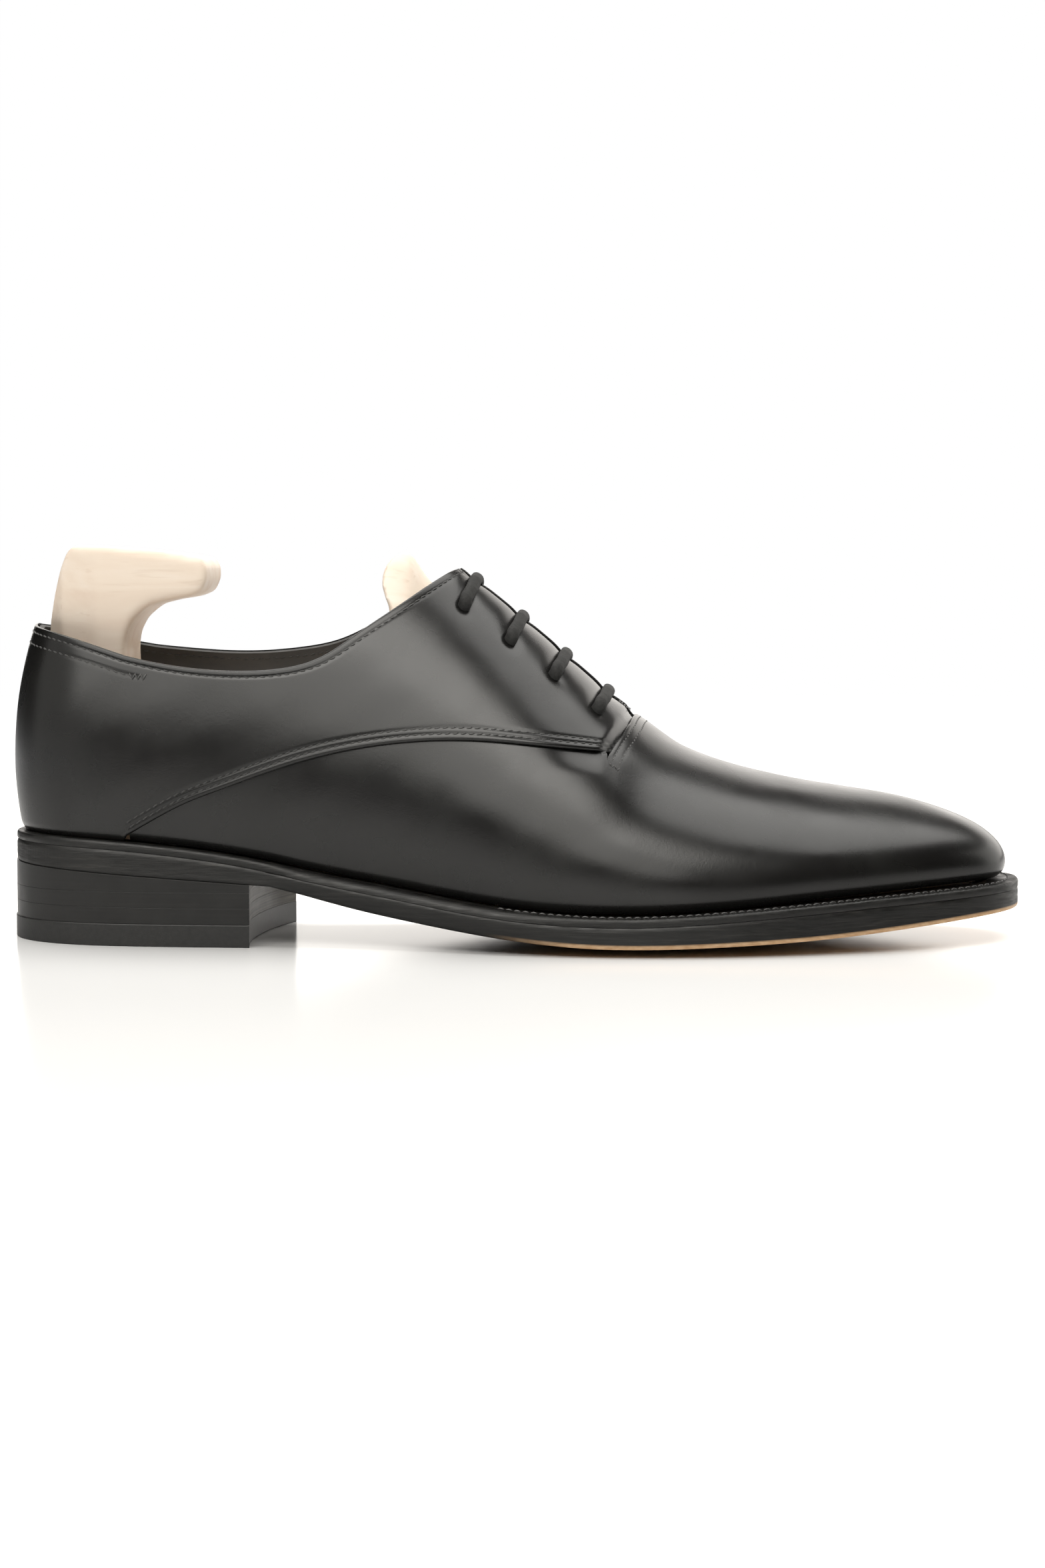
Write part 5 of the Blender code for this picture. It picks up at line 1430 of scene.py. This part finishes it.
def loop_of(points, pieces):
    """The closed outline with each side split into pieces."""
    following = np.roll(points, -1, 0)
    return np.vstack([points[k] + (following[k] - points[k]) * j / pieces
                      for k in range(len(points)) for j in range(pieces)])


# ---------------------------------------------------------------- CAD nodes that stay
def dress_nodes():
    looks = {
        "heel_counter": BOARD, "toe_puff": BOARD, "insole": VEG_LEATHER, "insole_rib": VEG_LEATHER,
        "cork_filler": CORK, "shank": STEEL, "sock_lining": PAPER, "hinge_pin": STEEL,
    }
    for name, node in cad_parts.items():
        look = looks.get(name)
        if name.startswith(("eyelet", "hinge")):
            look = STEEL
        if name.startswith("heel_nail"):
            look = BRASS
        if look:
            node.data.materials.clear()
            node.data.materials.append(look)


# ---------------------------------------------------------------- stage, light and camera
def floor_look():
    """White satin, which fades to an even white far from the shoe."""
    look = new_look("floor_white", (0.86, 0.86, 0.86), 0.16, IOR=1.22, Emission_Color=(1, 1, 1, 1))
    where = add_node(look, "ShaderNodeTexCoord").outputs["Object"]
    away = look.node_tree.nodes.new("ShaderNodeVectorMath")
    away.operation = "LENGTH"
    look.node_tree.links.new(where, away.inputs[0])
    near = add_node(
        look, "ShaderNodeMapRange", [("Value", away.outputs["Value"])],
        From_Min=FLOOR_FADE[0], From_Max=FLOOR_FADE[1],
    )
    near.interpolation_type = "SMOOTHSTEP"
    to_shader(look, "Emission Strength", near.outputs[0])
    to_shader(look, "Base Color", blend_colours(look, near.outputs[0], (0.86, 0.86, 0.86), (0, 0, 0)))
    return look


def make_stage():
    """A white floor, and round it a white wall that only the camera sees."""
    turn = np.linspace(0, 2 * math.pi, 160, endpoint=False)
    rim = np.column_stack([np.cos(turn), np.sin(turn), 0 * turn]) * FLOOR_RADIUS
    rim[:, 1] = np.maximum(rim[:, 1], -FLOOR_FRONT)
    mesh = bpy.data.meshes.new("floor")
    mesh.from_pydata(rim.tolist(), [], [list(range(len(rim)))])
    floor = bpy.data.objects.new("floor", mesh)
    bpy.context.scene.collection.objects.link(floor)
    floor.data.materials.append(floor_look())
    bpy.ops.mesh.primitive_cylinder_add(
        vertices=96, radius=WALL_AWAY, depth=WALL_AWAY, end_fill_type="NOTHING",
    )
    wall = bpy.context.object
    wall.name = "wall"
    white = new_look("wall_white", (0, 0, 0), 1.0, Emission_Color=(1, 1, 1, 1), Emission_Strength=1.0)
    wall.data.materials.append(white)
    wall.visible_glossy = wall.visible_diffuse = wall.visible_shadow = False


# name, place, height aimed at, size, watts, colour, whether it lights matt surfaces too
LIGHTS = (
    ("top_softbox", (0.05, 0.25, 1.5), 0.05, (2.2, 1.3), 41, (1, 0.985, 0.95), True),
    ("back_softbox", (0.3, 1.7, 0.65), 0.06, (3.0, 1.1), 22, (1, 0.96, 0.91), True),
    ("front_fill", (-0.2, -1.1, 1.3), 0.05, (1.6, 0.8), 17, (1, 0.97, 0.92), True),
    ("front_softbox", (-0.45, -1.3, 1.02), 0.05, (2.3, 1.6), 50, (1, 0.98, 0.93), False),
    ("left_card", (-1.5, -0.5, 0.6), 0.05, (1.4, 1.2), 4, (1, 0.98, 0.93), False),
    ("right_card", (1.5, 0.5, 0.5), 0.05, (1.2, 1.0), 9, (1, 0.98, 0.93), False),
)


def make_light():
    """Top, back and front light for everything, and cards that only the leather's shine mirrors."""
    for name, place, height, size, power, colour, matt_too in LIGHTS:
        data = bpy.data.lights.new(name, "AREA")
        data.shape = "RECTANGLE"
        data.size, data.size_y = size
        data.energy = power
        data.color = colour
        lamp = bpy.data.objects.new(name, data)
        bpy.context.scene.collection.objects.link(lamp)
        lamp.location = place
        lamp.rotation_euler = (Vector((0, 0, height)) - Vector(place)).to_track_quat("-Z", "Y").to_euler()
        lamp.visible_diffuse = matt_too
    world = bpy.data.worlds.new("studio")
    bpy.context.scene.world = world
    world.use_nodes = True
    background = world.node_tree.nodes["Background"]
    background.inputs[0].default_value = (1, 1, 1, 1)
    background.inputs[1].default_value = WORLD_LIGHT


def make_camera():
    data = bpy.data.cameras.new("camera")
    data.lens = CAMERA_LENS
    data.sensor_width = 36
    data.clip_start = 0.01
    camera = bpy.data.objects.new("camera", data)
    bpy.context.scene.collection.objects.link(camera)
    right = Vector((math.cos(CAMERA_TURN), math.sin(CAMERA_TURN), 0))
    ahead = Vector((-math.sin(CAMERA_TURN), math.cos(CAMERA_TURN), 0))
    camera.location = right * CAMERA_ASIDE - ahead * CAMERA_AWAY + Vector((0, 0, CAMERA_HEIGHT))
    camera.rotation_euler = (HALF_TURN - CAMERA_DOWN, 0, CAMERA_TURN)
    bpy.context.scene.camera = camera


make_camera()
make_stage()
make_light()
bpy.context.scene.view_settings.view_transform = "Standard"
make_vamp()
for side in SIDES:
    make_quarter(side)
make_linings()
make_tongue()
make_stitches()
make_lace()
make_welt()
make_outsole()
make_heel()
make_tree_forepart()
make_tree_heel_block()
dress_nodes()
